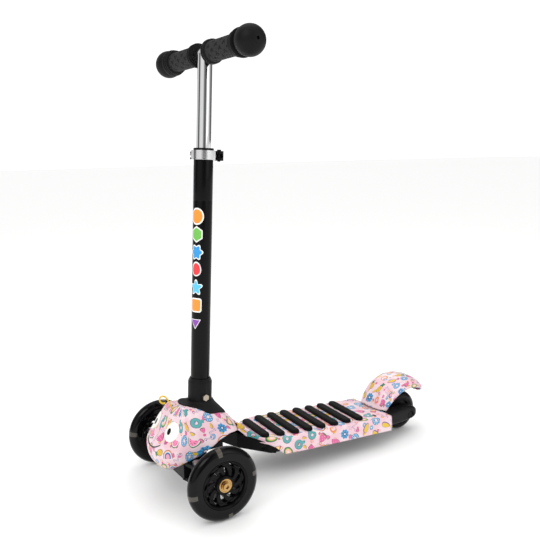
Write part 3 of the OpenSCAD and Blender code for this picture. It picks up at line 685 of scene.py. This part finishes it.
def front_shell():
    """Moulded shell over the front axle; the print's sheet is laid out at a mean radius."""
    around, rows = 168, 46
    columns = [shell_column(2 * math.pi * j / around, rows) for j in range(around + 1)]
    mean_r, waist = 72.0, 95.0
    verts = [columns[j][i] for i in range(rows) for j in range(around + 1)]
    uvs = [None] * len(verts)
    for j, column in enumerate(columns):
        run = [0.0]
        for p, q in zip(column, column[1:]):
            run.append(run[-1] + (q - p).length)
        datum = between([(p.z, d) for p, d in zip(column[:-3], run)], waist)
        for i, d in enumerate(run):
            uvs[i * (around + 1) + j] = (MM * mean_r * 2 * math.pi * j / around, MM * (waist + d - datum))
    faces = grid(rows, around + 1, False)
    obj = make("front_shell_skin", verts, faces, "film", body="chassis", uvs=uvs, slot="printed_plastic")
    walled = applied(thickened(obj, WALL))
    level_inside(walled)
    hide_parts("front_shell")
    return BVHTree.FromPolygons(verts, faces)


def level_inside(walled):
    """Keeps the wall's inner side under its flat crown, where the stem's opening folds it up."""
    crown_z, least_wall, crown_wall = 140, 1.2, 1.8
    half = len(walled.vertices) // 2
    for i in range(half):
        outer, inner = walled.vertices[i].co, walled.vertices[half + i].co
        if outer.z > crown_z * MM and inner.z > outer.z - least_wall * MM:
            inner.xyz = outer.x, outer.y, outer.z - crown_wall * MM


def on_skin(skin, start, way):
    """Point and outward direction where a ray meets the shell."""
    hit, normal, _, _ = skin.ray_cast(Vector(start), Vector(way).normalized(), 400)
    if hit is None:
        raise ValueError(f"no shell under {start}")
    return hit, normal if normal.dot(Vector(way)) < 0 else -normal


def skin_patch(name, skin, centre, facing, radii, lift, dome, material, replaced, slot):
    """A thin raised disc that follows the shell, pressed on along its own facing direction."""
    side = Vector((0, 0, 1)).cross(facing).normalized()
    up = facing.cross(side)
    rings, spokes, outside, sunk = 9, 48, 60, 0.8
    verts = [on_skin(skin, centre + facing * outside, -facing)[0] + facing * (lift + dome)]
    for i in range(1, rings + 1):
        share = i / rings
        for t in turns(spokes):
            at = centre + side * (radii[0] * share * math.cos(t)) + up * (radii[1] * share * math.sin(t))
            base = on_skin(skin, at + facing * outside, -facing)[0]
            verts.append(base + facing * (lift + dome * (1 - share ** 2)))
    verts += [p - facing * (lift + sunk) for p in verts[-spokes:]]
    faces = [(0, 1 + k, 1 + (k + 1) % spokes) for k in range(spokes)]
    for i in range(rings):
        for k in range(spokes):
            a, b = 1 + i * spokes + k, 1 + i * spokes + (k + 1) % spokes
            faces.append((a, a + spokes, b + spokes, b))
    obj = make(name, verts, faces, material, body="chassis", slot=slot, sharp=40)
    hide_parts(replaced)


def animal_face(skin):
    """Two plain round eyes and a short smile, raised a little from the shell."""
    eye_mid = Vector((31.9, AXLE_Y - 41.8, 121.6))
    gaze = Vector((0.30, -0.81, 0.51)).normalized()
    for side, label in SIDES:
        mirrored = Vector((side, 1, 1))
        centre, facing = eye_mid * mirrored, gaze * mirrored
        skin_patch(f"{label}_eye", skin, centre, facing, (14.5, 16.5), 0.7, 0.9, "eye",
                   "eye_discs", "white_plastic")
        look = centre + Vector((-4.6 * side, -1.7, -0.5))
        skin_patch(f"{label}_pupil", skin, look, facing, (4.4, 5.6), 1.5, 0.5, "pupil",
                   "eye_pupils", "pupil_black")
    smile = []
    reach, low, lift = 25, 92.5, 8.5
    for k in range(13):
        t = -1 + k / 6
        x, z = reach * t, low + lift * t * t
        hit, normal = on_skin(skin, (x, AXLE_Y - 200, z), (0, 1, 0))
        smile.append(hit + normal * 0.1)
    sweep("smile", smile, 1.25, "pupil", body="chassis", slot="pupil_black",
          taper=lambda t: 0.35 + 0.65 * math.sin(math.pi * t) ** 0.5)


def brow_loop(skin):
    """Yellow cord that comes out of the brow and curls forward to a free end."""
    foot, _ = on_skin(skin, (0, AXLE_Y - 26.0, 300), (0, 0, -1))
    curl = [foot - Vector((0, -1.0, 2.0)), foot + Vector((0, -2.0, 5)), (0, AXLE_Y - 32.5, 164),
            (0, AXLE_Y - 37.5, 171.5), (0, AXLE_Y - 43, 173.6), (0, AXLE_Y - 47, 171),
            (0.3, AXLE_Y - 46.5, 165), (0.8, AXLE_Y - 42.5, 161.5), (1.2, AXLE_Y - 38, 161.4)]
    obj = sweep("brow_loop", curl, 1.4, "yellow", body="chassis", slot="yellow_plastic",
                taper=lambda t: 1.0 if t < 0.97 else 0.7)
    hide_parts("top_loop")


def shell_height(x, y):
    """Height of the shell's outer surface at a place, as if it had no opening for the stem."""
    low, high = 60.0, float(SHELL_TOP)

    def inside(z):
        half_w, front, rear = at_station(SHELL_LEVELS, z)
        ahead = y - AXLE_Y < SHELL_MID
        reach = SHELL_MID - front if ahead else rear - SHELL_MID + 2
        share = min(1.0, abs(x) / half_w) ** (1 / (FRONT_CORNER if ahead else REAR_CORNER))
        round_off = math.sqrt(max(0.0, 1 - share * share)) ** END_CORNER
        return abs(y - AXLE_Y - SHELL_MID) <= reach * round_off

    if inside(high):
        return high
    for _ in range(18):
        mid = (low + high) / 2
        low, high = (mid, high) if inside(mid) else (low, mid)
    return low


def rubber_boot():
    """Flat rubber collar between the shell and the stem, with a tongue down the shell's back."""
    top_z, sheet_z, hug_r, wall = 156.6, 154.6, 20.6, 0.9
    half_w, reach, tongue = 32, 36, 14
    stem_at = PIVOT + STEM * up_stem(156)
    centre_y = AXLE_Y + 23
    around, rows = 112, 18
    rings = []
    for i in range(rows):
        share = i / (rows - 1)
        ring = []
        for a in turns(around):
            back = max(0.0, math.cos(a))
            outer = Vector((half_w * math.sin(a) * (1 - 0.3 * back ** 2),
                            centre_y + math.cos(a) * (reach + tongue * back ** 3)))
            inner = Vector((stem_at.x + hug_r * math.sin(a), stem_at.y + hug_r * math.cos(a)))
            p = outer.lerp(inner, share)
            edge_z = shell_height(outer.x, outer.y) + 2.0
            sheet = edge_z + (sheet_z - edge_z) * share
            z = max(sheet, shell_height(p.x, p.y) + 1.4) if i else edge_z - 1.6
            rise = max(0.0, (share - 0.72) / 0.28)
            ring.append(Vector((p.x, p.y, z + (top_z - z) * rise ** 2)))
        rings.append(ring)
    obj = loft("rubber_boot_cover", rings, "boot", capped=False, slot="strip_rubber", sharp=55)
    thickened(obj, wall)
    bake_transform(obj)
    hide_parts("rubber_boot")


def centring_springs():
    """Coil springs each side of the stem's yoke, built in one fixed shape; the real springs close up as the
    stem leans.
    """
    middle_y, middle_z, coil_r, coils, steps, wire_r = AXLE_Y + 11.3, 68.0, 4.2, 6, 8, 0.9
    still, moved = 27.2, 9.2             # ends of a coil across: at the chassis and at the stem
    for side, label in SIDES:
        line = []
        for k in range(steps * coils + 1):
            t = 2 * math.pi * k / steps
            x = moved + (still - moved) * k / (steps * coils)
            line.append((side * x, middle_y + coil_r * math.cos(t), middle_z + coil_r * math.sin(t)))
        coil = sweep(f"{label}_centring_spring", line, wire_r, "steel", segments=10, slot="zinc_steel")
        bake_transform(coil)
        if side > 0:
            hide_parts("centring_springs")


# ------------------------ deck

# Stations of the deck cover, from the axle line: distance, half width, rise and skirt
DECK_STATIONS = [
    (86.0, 21, 28, 14), (93, 23.5, 23, 15), (101, 28, 16.5, 17), (110, 35, 9, 19), (119, 42.5, 2.2, 11),
    (125.2, 48, 0, 10), (131, 53, 0, 11), (142, 60, 0, 17), (150, 62.6, 0, 24), (158, 64, 0, 29),
    (403, 63, 0, 29),
]


def deck_section(y):
    """Half a cross-section of the cover from its skirt's foot to its middle: (across, height)."""
    half_w, rise, skirt = at_station(DECK_STATIONS, y)
    rise = max(rise, 0.0)
    top = deck_top(AXLE_Y + y) + rise
    foot = top - skirt
    shoulder = min(9.0, skirt * 0.6)
    wall = half_w - 1.5
    outline = [(half_w - 0.6, foot), (half_w + 0.1, foot + 1.0, 0.8), (wall, top - shoulder, 6),
               (wall, top, shoulder * 0.95), (half_w * 0.4, top + 0.3, 30), (0, top + 0.2)]
    return filleted(outline, 5, steps=7)


def deck_cover():
    """Printed cover of the deck, with a raised black oval in its rear corner: painted shade where a small
    slot would be.
    """
    rows = 92
    ends = (DECK_STATIONS[0][0], DECK_END - AXLE_Y)
    verts, uvs, count = [], [], 0
    for i in range(rows):
        share = i / (rows - 1)
        y = ends[0] + (ends[1] - ends[0]) * share ** 1.25
        half = deck_section(y)
        section = [(p.x, p.y) for p in half] + [(-p.x, p.y) for p in reversed(half[:-1])]
        count = len(section)
        run = [0.0]
        for a, b in zip(section, section[1:]):
            run.append(run[-1] + math.dist(a, b))
        for (x, z), s in zip(section, run):
            verts.append((x, AXLE_Y + y, z))
            uvs.append((MM * (s - run[-1] / 2 + 400), MM * (y + 300)))
    obj = make("deck_cover_skin", verts, grid(rows, count, False), "film", body="chassis",
               uvs=uvs, slot="printed_plastic", sharp=50)
    thickened(obj, WALL)
    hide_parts("deck_cover")
    # No slot is cut: this black oval paints the shade inside the slot.
    slot_at, slot_half, slot_half_w = Vector((45, DECK_END - 30)), 5.5, 2.6
    outline = [(slot_at.x + slot_half * math.cos(t), slot_at.y + slot_half_w * math.sin(t))
               for t in turns(24)]
    z = deck_top(slot_at.y)
    prism("deck_slot_shade_patch", outline, z - 1.5, z + 0.75, "pupil", bevel=0.2, body="chassis", slot="black_plastic")


def grip_strips():
    """Raised rubber strips: round-ended, flat on top with soft shoulders."""
    pitch, first = 29.0, AXLE_Y + 133.5
    reaches = [44, 51] + [54] * 6
    made = [one_strip(f"grip_strip_{i + 1}", first + i * pitch, reach) for i, reach in enumerate(reaches)]
    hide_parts("grip_strips")


def one_strip(name, y0, reach):
    half, stretch, lean, wave_h, wave_rate, n_end = 8.6, 6.2 / 4, 0.045, 1.1, 0.09, 14
    # Inset from the edge and height of each ring, up the rounded side and in over the top
    levels = [(0.3, -0.3), (0.0, 0.6), (0.1, 2.0), (0.7, 3.1), (1.9, 3.8), (3.4, 4.02), (5.4, 4.1)]
    rings = []
    for inset, z in levels:
        ring = []
        for side in (1, -1):
            for k in range(n_end + 1):
                t = -math.pi / 2 + math.pi * k / n_end
                r = half - inset
                x = side * (reach - half + r * math.cos(t))
                y = y0 + side * r * math.sin(t) + wave_h * math.sin(x * wave_rate) - lean * x
                ring.append((x, y, deck_top(y) + z * stretch))
        rings.append(ring)
    return loft(name, rings, "strip", body="chassis", slot="strip_rubber", sharp=60)


# ------------------------ rear end

FENDER_Y, FENDER_Z, FENDER_WALL = REAR_Y - 7, 43, 2.6        # middle of the fender's arc
FENDER_FROM, FENDER_TO = math.radians(33), math.radians(163)
LIP_LEAD, LIP_SWING, LIP_DROP = math.radians(1.0), math.radians(3.4), 11.0


def fender_point(a, u):
    """Place on the fender at angle a round its arc, 0 at the tail's side, and u across it."""
    along = (a - FENDER_FROM) / (FENDER_TO - FENDER_FROM)
    crown = 75.5 - 3 * (1 - along) ** 4
    edge = 47.5 + 17 * (1 - along) ** 3 + 6 * along ** 6
    half_w = 17 + 21 * math.sqrt(max(0.0, 1 - (1 - along) ** 4)) - 4 * along ** 6
    r = edge + (crown - edge) * power(math.cos(u), 0.75)
    x = half_w * power(math.sin(u), 0.8)
    return Vector((x, FENDER_Y + r * math.cos(a), FENDER_Z + r * math.sin(a)))


def lip_point(a, u, t):
    """Place on the tail's lip, which turns down and in from the fender's end as t falls to 0."""
    p = fender_point(FENDER_FROM, u)
    arm = p - Vector((p.x, FENDER_Y, FENDER_Z))
    drop = LIP_DROP * (1 - math.sin(t)) * math.cos(u)
    turned = Matrix.Rotation(a - FENDER_FROM, 4, "X") @ (arm * (1 - drop / arm.length))
    return Vector((p.x * (1 - 0.12 * (1 - math.sin(t))), FENDER_Y + turned.y, FENDER_Z + turned.z))


def brake_fender():
    lip, rows, columns = 8, 64, 49
    sheet_at, sheet_w, sheet_r = 900, 52, 72
    start = FENDER_FROM + LIP_LEAD
    across = [math.pi / 2 * power(-1 + 2 * j / (columns - 1), 0.85) * 0.999 for j in range(columns)]
    verts, uvs = [], []
    for i in range(lip + rows):
        t = math.pi / 2 * i / lip
        swing = LIP_SWING * math.cos(t) if i < lip else 0
        a = start - swing + (FENDER_TO - start) * max(0, i - lip) / (rows - 1)
        for u in across:
            verts.append(lip_point(a, u, t) if i < lip else fender_point(a, u))
            uvs.append((MM * (sheet_at + sheet_w * u), MM * sheet_r * a))
    obj = make("brake_fender_skin", verts, grid(lip + rows, columns, False), "film", body="brake",
               uvs=uvs, slot="printed_plastic", sharp=60)
    thickened(obj, FENDER_WALL)
    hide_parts("brake_fender")


# Stations of a fork cheek, from the rear axle: distance, inner and outer face, foot and top
CHEEK_STATIONS = [
    (-67.6, 8.0, 45.0, 31.0, 56.0), (-62, 12, 45.5, 30.5, 56.5), (-52, 14.6, 45.0, 30.0, 57.0),
    (-36, 14.6, 43.6, 29.2, 57.6), (-20, 14.6, 42.2, 29.2, 58.2), (-6, 14.6, 41.2, 29.8, 58.6),
    (6, 14.6, 40.4, 31.6, 57.4), (14, 14.8, 39.0, 34.4, 53.6), (17.5, 15.8, 36.8, 38.0, 49.6),
]
BRIDGE_FROM, BRIDGE_TO = REAR_Y - 67.4, REAR_Y - 45.0


def fork_cheek(side, label):
    """One rounded arm of the fork, with a recess for the axle bolt's end."""
    rows, around, squareness = 40, 40, 0.42
    first, last = CHEEK_STATIONS[0][0], CHEEK_STATIONS[-1][0]
    rings = []
    for i in range(rows):
        y = first + (last - first) * (i / (rows - 1)) ** 0.9
        x_in, x_out, z_low, z_high = at_station(CHEEK_STATIONS, y)
        mid_x, mid_z = (x_in + x_out) / 2, (z_low + z_high) / 2
        rings.append([(side * (mid_x + (x_out - x_in) / 2 * power(math.cos(t), squareness)), REAR_Y + y,
                       mid_z + (z_high - z_low) / 2 * power(math.sin(t), squareness))
                      for t in turns(around)])
    obj = loft(f"{label}_fork_cheek", rings, "satin", sharp=35)
    recess_r, recess_at, past = 8.6, 33, 30
    cut_away(obj, lathe("cutter", [(0, 0), (recess_r, 0), (recess_r, past), (0, past)], "satin",
                        wheel_frame(recess_at, REAR_Y, REAR_R, side), segments=48))
    obj.data.set_sharp_from_angle(angle=math.radians(35))
    return bevelled(obj, 0.8, 40)


def fork_bridge():
    """The cross-piece between the cheeks, open at the back for the wheel."""
    outline = [(43 * power(math.cos(t), 0.2), 43.5 + 12.5 * power(math.sin(t), 0.35)) for t in turns(32)]
    ends = [[(x, y, z) for x, z in outline] for y in (BRIDGE_FROM, BRIDGE_TO)]
    bar = loft("fork_bridge", ends, "satin", sharp=35)
    well_w, well_from, well_to = 39, REAR_Y - 64, REAR_Y - 40
    well = [(-well_w, well_from), (well_w, well_from), (well_w, well_to), (-well_w, well_to)]
    cut_away(bar, prism("cutter", well, 43, 90, "satin"))
    return bevelled(bar, 0.8)


def rear_fork():
    """Two rounded cheeks on a bridge behind the deck."""
    pieces = [fork_cheek(side, label) for side, label in SIDES] + [fork_bridge()]
    for piece in pieces:
        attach(piece, "chassis")
    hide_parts("rear_fork")


# ------------------------ wheels


def wheel_frame(x, y, z, side):
    """Frame of a wheel: local Z points out along the axle, away from the middle."""
    return Matrix.Translation((side * x, y, z)) @ Matrix.Rotation(side * math.pi / 2, 4, "Y")


def tyre_outline(r, core, w):
    """Half-round tread with flat side walls that step in at the core."""
    h = w / 2
    side = [(core, -h + 0.9), (core + 0.8, -h + 0.1), (core + 2.0, -h)]
    tread = [(r - h + h * math.cos(t), h * math.sin(t))
             for t in (-math.pi / 2 + math.pi * k / 30 for k in range(31))]
    return side + tread + [(p, -z) for p, z in reversed(side)]


def front_wheel(side, label):
    frame_here = wheel_frame(HALF_TRACK, AXLE_Y, WHEEL_R, side)
    body = f"{label}_front_wheel"
    outline = tyre_outline(WHEEL_R, CORE_R, WHEEL_W)
    tyre = lathe(f"{label}_tyre_ring", outline + [outline[0]], "tyre", frame_here, 144, body=body,
                 slot="wheel_tyre", sharp=40)
    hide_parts(f"{label}_tyre")
    lights(label, outline, frame_here, body)
    wheel_core(label, frame_here, body, side)


def lights(label, outline, frame_here, body):
    """Four clear windows in the tread, a hair proud of it."""
    foot, half_w, first_mid, half_turn, proud_by = 47.6, 10.6, 8, 3.7 / 52, 0.12
    proud = [(r + (proud_by if abs(z) < 10 else 0), z * 1.012) for r, z in outline if r > 47.5]
    for i in range(4):
        mid = math.radians(first_mid + 90 * i)
        lathe(f"{label}_light_{i + 1}", [(foot, -half_w)] + proud + [(foot, half_w)], "window",
                          frame_here, 6, arc=(mid - half_turn, mid + half_turn), body=body,
                          slot="light_window", sharp=40)
    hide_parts(f"{label}_lights")


def wheel_core(label, frame_here, body, side):
    """Moulded core: rim, hub, a ridge round its web, and ten curved blades."""
    rim = [(CORE_R - 0.1, -10.2), (CORE_R - 0.1, 10.2), (CORE_R - 1.6, 10.6), (CORE_R - 2.4, 9.4),
           (CORE_R - 3.4, 8.8), (CORE_R - 4.2, 5.0), (CORE_R - 4.2, -5.0), (CORE_R - 3.4, -8.8),
           (CORE_R - 1.6, -10.6), (CORE_R - 0.1, -10.2)]
    hub = [(11.1, -10.6), (13.4, -10.9), (15.2, -9.4), (16.4, -5.6), (16.4, 5.6), (15.2, 9.4),
           (13.4, 10.9), (11.1, 10.6), (11.1, -10.6)]
    ridge = [(29.0, -6.4), (29.0, 6.4), (29.8, 7.0), (30.6, 6.4), (30.6, -6.4), (29.8, -7.0),
             (29.0, -6.4)]
    rings = [lathe(f"{label}_core_{name}", filleted(profile, radius, steps), "core", frame_here, segments,
                   body=body, slot="wheel_core", sharp=50)
             for name, profile, radius, steps, segments in
             (("rim", rim, 0.7, 2, 96), ("hub", hub, 0.9, 3, 72), ("ridge", ridge, 0.3, 2, 96))]
    mirrored = Matrix.Diagonal((1, side, 1, 1))
    for i, t in enumerate(turns(10)):
        prism(f"{label}_spoke_{i + 1}", spoke_outline(), -6.2, 6.2, "core", bevel=0.9, body=body,
              slot="wheel_core", matrix=frame_here @ Matrix.Rotation(t, 4, "Z") @ mirrored)
    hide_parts(f"{label}_core")


def spoke_outline():
    """A blade that sweeps back as it goes out, narrow at the hub and broad at the rim."""
    inner, outer = 14.6, CORE_R - 3.6
    lead, trail = [], []
    for k in range(9):
        t = k / 8
        r = inner + (outer - inner) * t
        mid = 0.62 * t ** 1.5
        half = (2.2 + 5.6 * t ** 1.25) / r
        lead.append((r * math.cos(mid - half), r * math.sin(mid - half)))
        trail.append((r * math.cos(mid + half), r * math.sin(mid + half)))
    return lead + list(reversed(trail))


def rear_wheel():
    frame_here = wheel_frame(0, REAR_Y, REAR_R, 1)
    core = box_mm("rear_core")[1].z - REAR_R
    outline = tyre_outline(REAR_R, core, REAR_W)
    tyre = lathe("rear_tyre_ring", outline + [outline[0]], "tyre", frame_here, 120, body="rear_wheel",
                 slot="wheel_tyre", sharp=40)
    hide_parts("rear_tyre")


# ------------------------ stem and handlebar


def stem_socket():
    """Stepped sleeve round the foot of the tube, with a soft rib on each side."""
    top = up_stem(box_mm("stem_socket")[1].z) - 0.6
    rib, rib_half_turn, body_r = 0.8, 0.12, 20
    profile = filleted([(16.1, top - 42), (18.6, top - 42), (18.8, top - 38.5), (20.4, top - 38.3),
                        (20.4, top - 5.6), (19.3, top - 5.2), (19.3, top - 2.6), (17.9, top - 2.3),
                        (17.9, top), (16.1, top)], 0.7, 3)

    def ribs(a, h, r):
        near = min(abs(math.remainder(a - c, 2 * math.pi)) for c in (0.0, math.pi))
        return rib * math.exp(-(near / rib_half_turn) ** 2) if r > body_r else 0.0

    lathe("stem_socket_sleeve", profile, "satin", stem_frame(0), 144, shape=ribs,
          body="steering_stem", slot="black_plastic", sharp=40)


def lower_tube():
    """Painted tube with a fine seam line round it."""
    low, seam, bore = 61.5, 395.0, TUBE_R - 1.5
    high = up_stem(box_mm("lower_stem_tube")[1].z) - 0.9
    seam_r = TUBE_R - 0.14
    profile = filleted([(bore, low), (TUBE_R, low), (TUBE_R, seam), (seam_r, seam + 0.25),
                        (seam_r, seam + 0.75), (TUBE_R, seam + 1.0), (TUBE_R, high), (bore, high)], 0.3, 2)
    tube = lathe("lower_tube_skin", profile, "paint", stem_frame(0), 96, body="steering_stem",
                 slot="black_paint", sharp=40)
    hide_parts("lower_stem_tube")


def badge_shapes():
    """Seven plain shapes with white borders, one above the other down the tube."""
    def circle(t): return 1.0
    def square(t): return min(1 / max(abs(math.cos(t)), 1e-6), 1 / max(abs(math.sin(t)), 1e-6), 1.25) * 0.86
    def star(t): return 0.78 + 0.22 * math.cos(5 * (t - math.pi / 2))
    def flower(t): return 0.86 + 0.14 * math.cos(6 * t)
    def hexagon(t): return math.cos(math.pi / 6) / math.cos(math.remainder(t, math.pi / 3)) * 0.98
    def drop(t): return 0.74 + 0.26 * max(0.0, math.sin(t)) ** 3

    def triangle(t):
        from_side = math.remainder(t - math.pi / 2, 2 * math.pi / 3)
        return min(0.52 / max(math.cos(from_side), 0.2), 1.0)

    order = [("orange", circle), ("green", hexagon), ("blue", flower), ("red", drop),
             ("sky", star), ("orange", square), ("violet", triangle)]
    top, pitch = 370.0, 29.5
    for i, (ink, form) in enumerate(order):
        half = (12.4, 14.0) if form != triangle else (11.0, 11.0)
        badge(f"badge_{i + 1}", top - pitch * i, half, form, ink)


def badge(name, s, half, form, ink):
    """A thin film shape wrapped round the tube: a coloured middle on a white border."""
    spokes, facing, shares = 72, math.radians(-62), [0.12, 0.4, 0.7, 0.9, 1.0]
    films = (("border", 1.0, 0.10, "white"), ("middle", 0.82, 0.20, "ink_" + ink))
    for label, scale, lift, material in films:
        r = TUBE_R + lift
        verts = []
        for share in shares:
            for t in turns(spokes):
                reach = form(t) * share * scale
                a = facing + half[0] * reach * math.cos(t) / TUBE_R
                verts.append((r * math.cos(a), r * math.sin(a), s + half[1] * reach * math.sin(t)))
        faces = grid(len(shares), spokes, True) + [tuple(reversed(range(spokes)))]
        thickened(make(f"{name}_{label}", verts, faces, material, matrix=stem_frame(0),
                       body="steering_stem", slot="black_paint"), 0.12)


HAND_R, HAND_FROM, HAND_TO = 16.4, 31.8, 110.5               # the part that a hand holds
BALL_R = 23.4


def grip_profile(ball_at):
    """From the bar's middle outward: two flanges, the hand's part, three ridges and the ball."""
    bore, steps = 11.05, 96
    profile = filleted([(bore, 22.0), (19.0, 22.0), (19.6, 22.6), (19.6, 25.0), (17.2, 25.6), (17.2, 27.0),
                        (19.4, 27.5), (19.4, 30.0), (17.4, 31.2), (HAND_R, HAND_FROM)], 0.6, 2)
    profile += [(HAND_R, HAND_FROM + (HAND_TO - HAND_FROM) * k / steps) for k in range(1, steps + 1)]
    for k in range(3):
        x, r = 112 + 5 * k, 20.0 + k
        profile += filleted([(r - 2.2, x - 0.9), (r - 0.2, x - 0.2), (r, x + 0.4), (r, x + 2.9),
                             (r - 2.2, x + 3.7)], 0.5, 2)
    start, end = math.asin((127.0 - ball_at) / BALL_R), math.radians(83.6)
    profile += [(BALL_R * math.cos(t), ball_at + BALL_R * math.sin(t))
                for t in (start + (end - start) * k / 30 for k in range(31))]
    tip = ball_at + BALL_R
    profile += [(2.3, tip - 0.6), (2.2, tip - 4.5), (0.05, tip - 5.0)]
    return [tuple(p) for p in profile]


def leaves(a, h, r):
    """Pressed pattern of the hand's part: pairs of small leaves in staggered rows."""
    first, last, cell_w, cell_h = 36, 107, 13.7, 13.0
    lean, apart, leaf_reach, leaf_half_w, soft, depth = 0.85, 2.4, 5.2, 1.9, 0.7, 0.75
    if r != HAND_R or not first < h < last:
        return 0.0
    row = math.floor((h - first) / cell_h)
    u = ((a * HAND_R / cell_w + 0.5 * (row % 2)) % 1.0 - 0.5) * cell_w
    v = ((h - first) / cell_h - row - 0.5) * cell_h
    pressed = 0.0
    for side in (1, -1):
        c, s = math.cos(lean), side * math.sin(lean)
        p, q = u * c + v * s, -u * s + v * c - side * apart
        if abs(p) < leaf_reach:
            inside = leaf_half_w * (1 - (p / leaf_reach) ** 2) - abs(q)
            pressed = max(pressed, min(1.0, max(0.0, inside / soft)))
    return -depth * pressed


def grips():
    profile = grip_profile(box_mm("left_grip")[1].x - 23.6)
    for side, label in SIDES:
        frame_here = stem_frame(up_stem(middle("crossbar").z)) @ Matrix.Rotation(side * math.pi / 2, 4, "Y")
        obj = lathe(f"{label}_grip_sleeve", profile, "grip", frame_here, 128, shape=leaves,
                    body="handlebar", slot="grip_rubber", sharp=60)
        # The leaf grooves of the hand's part take the near-black ball rubber as painted shade; the flanges,
        # ridges and ball really are this black rubber.
        obj.data.materials.append(M["ball"])
        back = frame_here.inverted()
        for poly in obj.data.polygons:
            p = back @ (poly.center / MM)
            held_outside_grooves = 31.9 < p.z < 110 and math.hypot(p.x, p.y) > HAND_R - 0.22
            poly.material_index = 0 if held_outside_grooves else 1
        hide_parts(f"{label}_grip")


# ------------------------ CAD nodes that stay


def finish_cad_nodes():
    """Gives each node that still shows its finish; most of these finishes round the edges in the shading.
    """
    looks = {
        "plastic": ["underframe", "front_beam", "guide_bush", "clamp_lever", "tube_plug", "left_knuckle",
                    "right_knuckle", "brake_hinge", "brake_shoe", "lever_pin", "rear_core", "stem_socket"],
        "steel": ["deck_screws", "beam_screws", "kingpins", "kingpin_nuts", "pivot_bolt", "pivot_nut",
                  "centring_springs", "link_pin", "clamp_bolt", "tie_rod", "left_spacer", "right_spacer",
                  "rear_spacer", "rear_bearings", "brake_spring"],
        "satin": ["rear_axle_bolt", "rear_axle_nut", "brake_pin"],
        "nickel": ["socket_bolt", "socket_nut"],
        "brass": ["left_axle_bolt", "right_axle_bolt", "left_bearings", "right_bearings"],
        "alloy": ["clamp_collar", "acorn_nut"],
        "chrome": ["upper_stem_tube", "crossbar"],
        "bush": ["pivot_bushes"],
    }
    for look, names in looks.items():
        for name in names:
            frame["nodes"][name].data.materials[0] = M[look]


# ------------------------ the scene

bpy.context.scene.view_settings.view_transform = "Standard"
make_camera()
make_world()
make_floor()
area_light("key", (0.9, -1.6, 2.2), (0, 0, 0.3), (1.6, 1.2), 14)
area_light("fill", (2.2, 0.9, 1.3), (0, 0, 0.3), (1.4, 1.4), 5)
area_light("top", (-0.4, 0.2, 2.6), (0, 0, 0.2), (1.8, 1.8), 8)
area_light("back", (-1.8, 1.2, 1.6), (0, 0, 0.4), (1.2, 1.2), 5)

M = all_materials()
skin = front_shell()
animal_face(skin)
brow_loop(skin)
rubber_boot()
centring_springs()
deck_cover()
grip_strips()
brake_fender()
rear_fork()
for side, label in SIDES:
    front_wheel(side, label)
rear_wheel()
stem_socket()
lower_tube()
badge_shapes()
grips()
finish_cad_nodes()
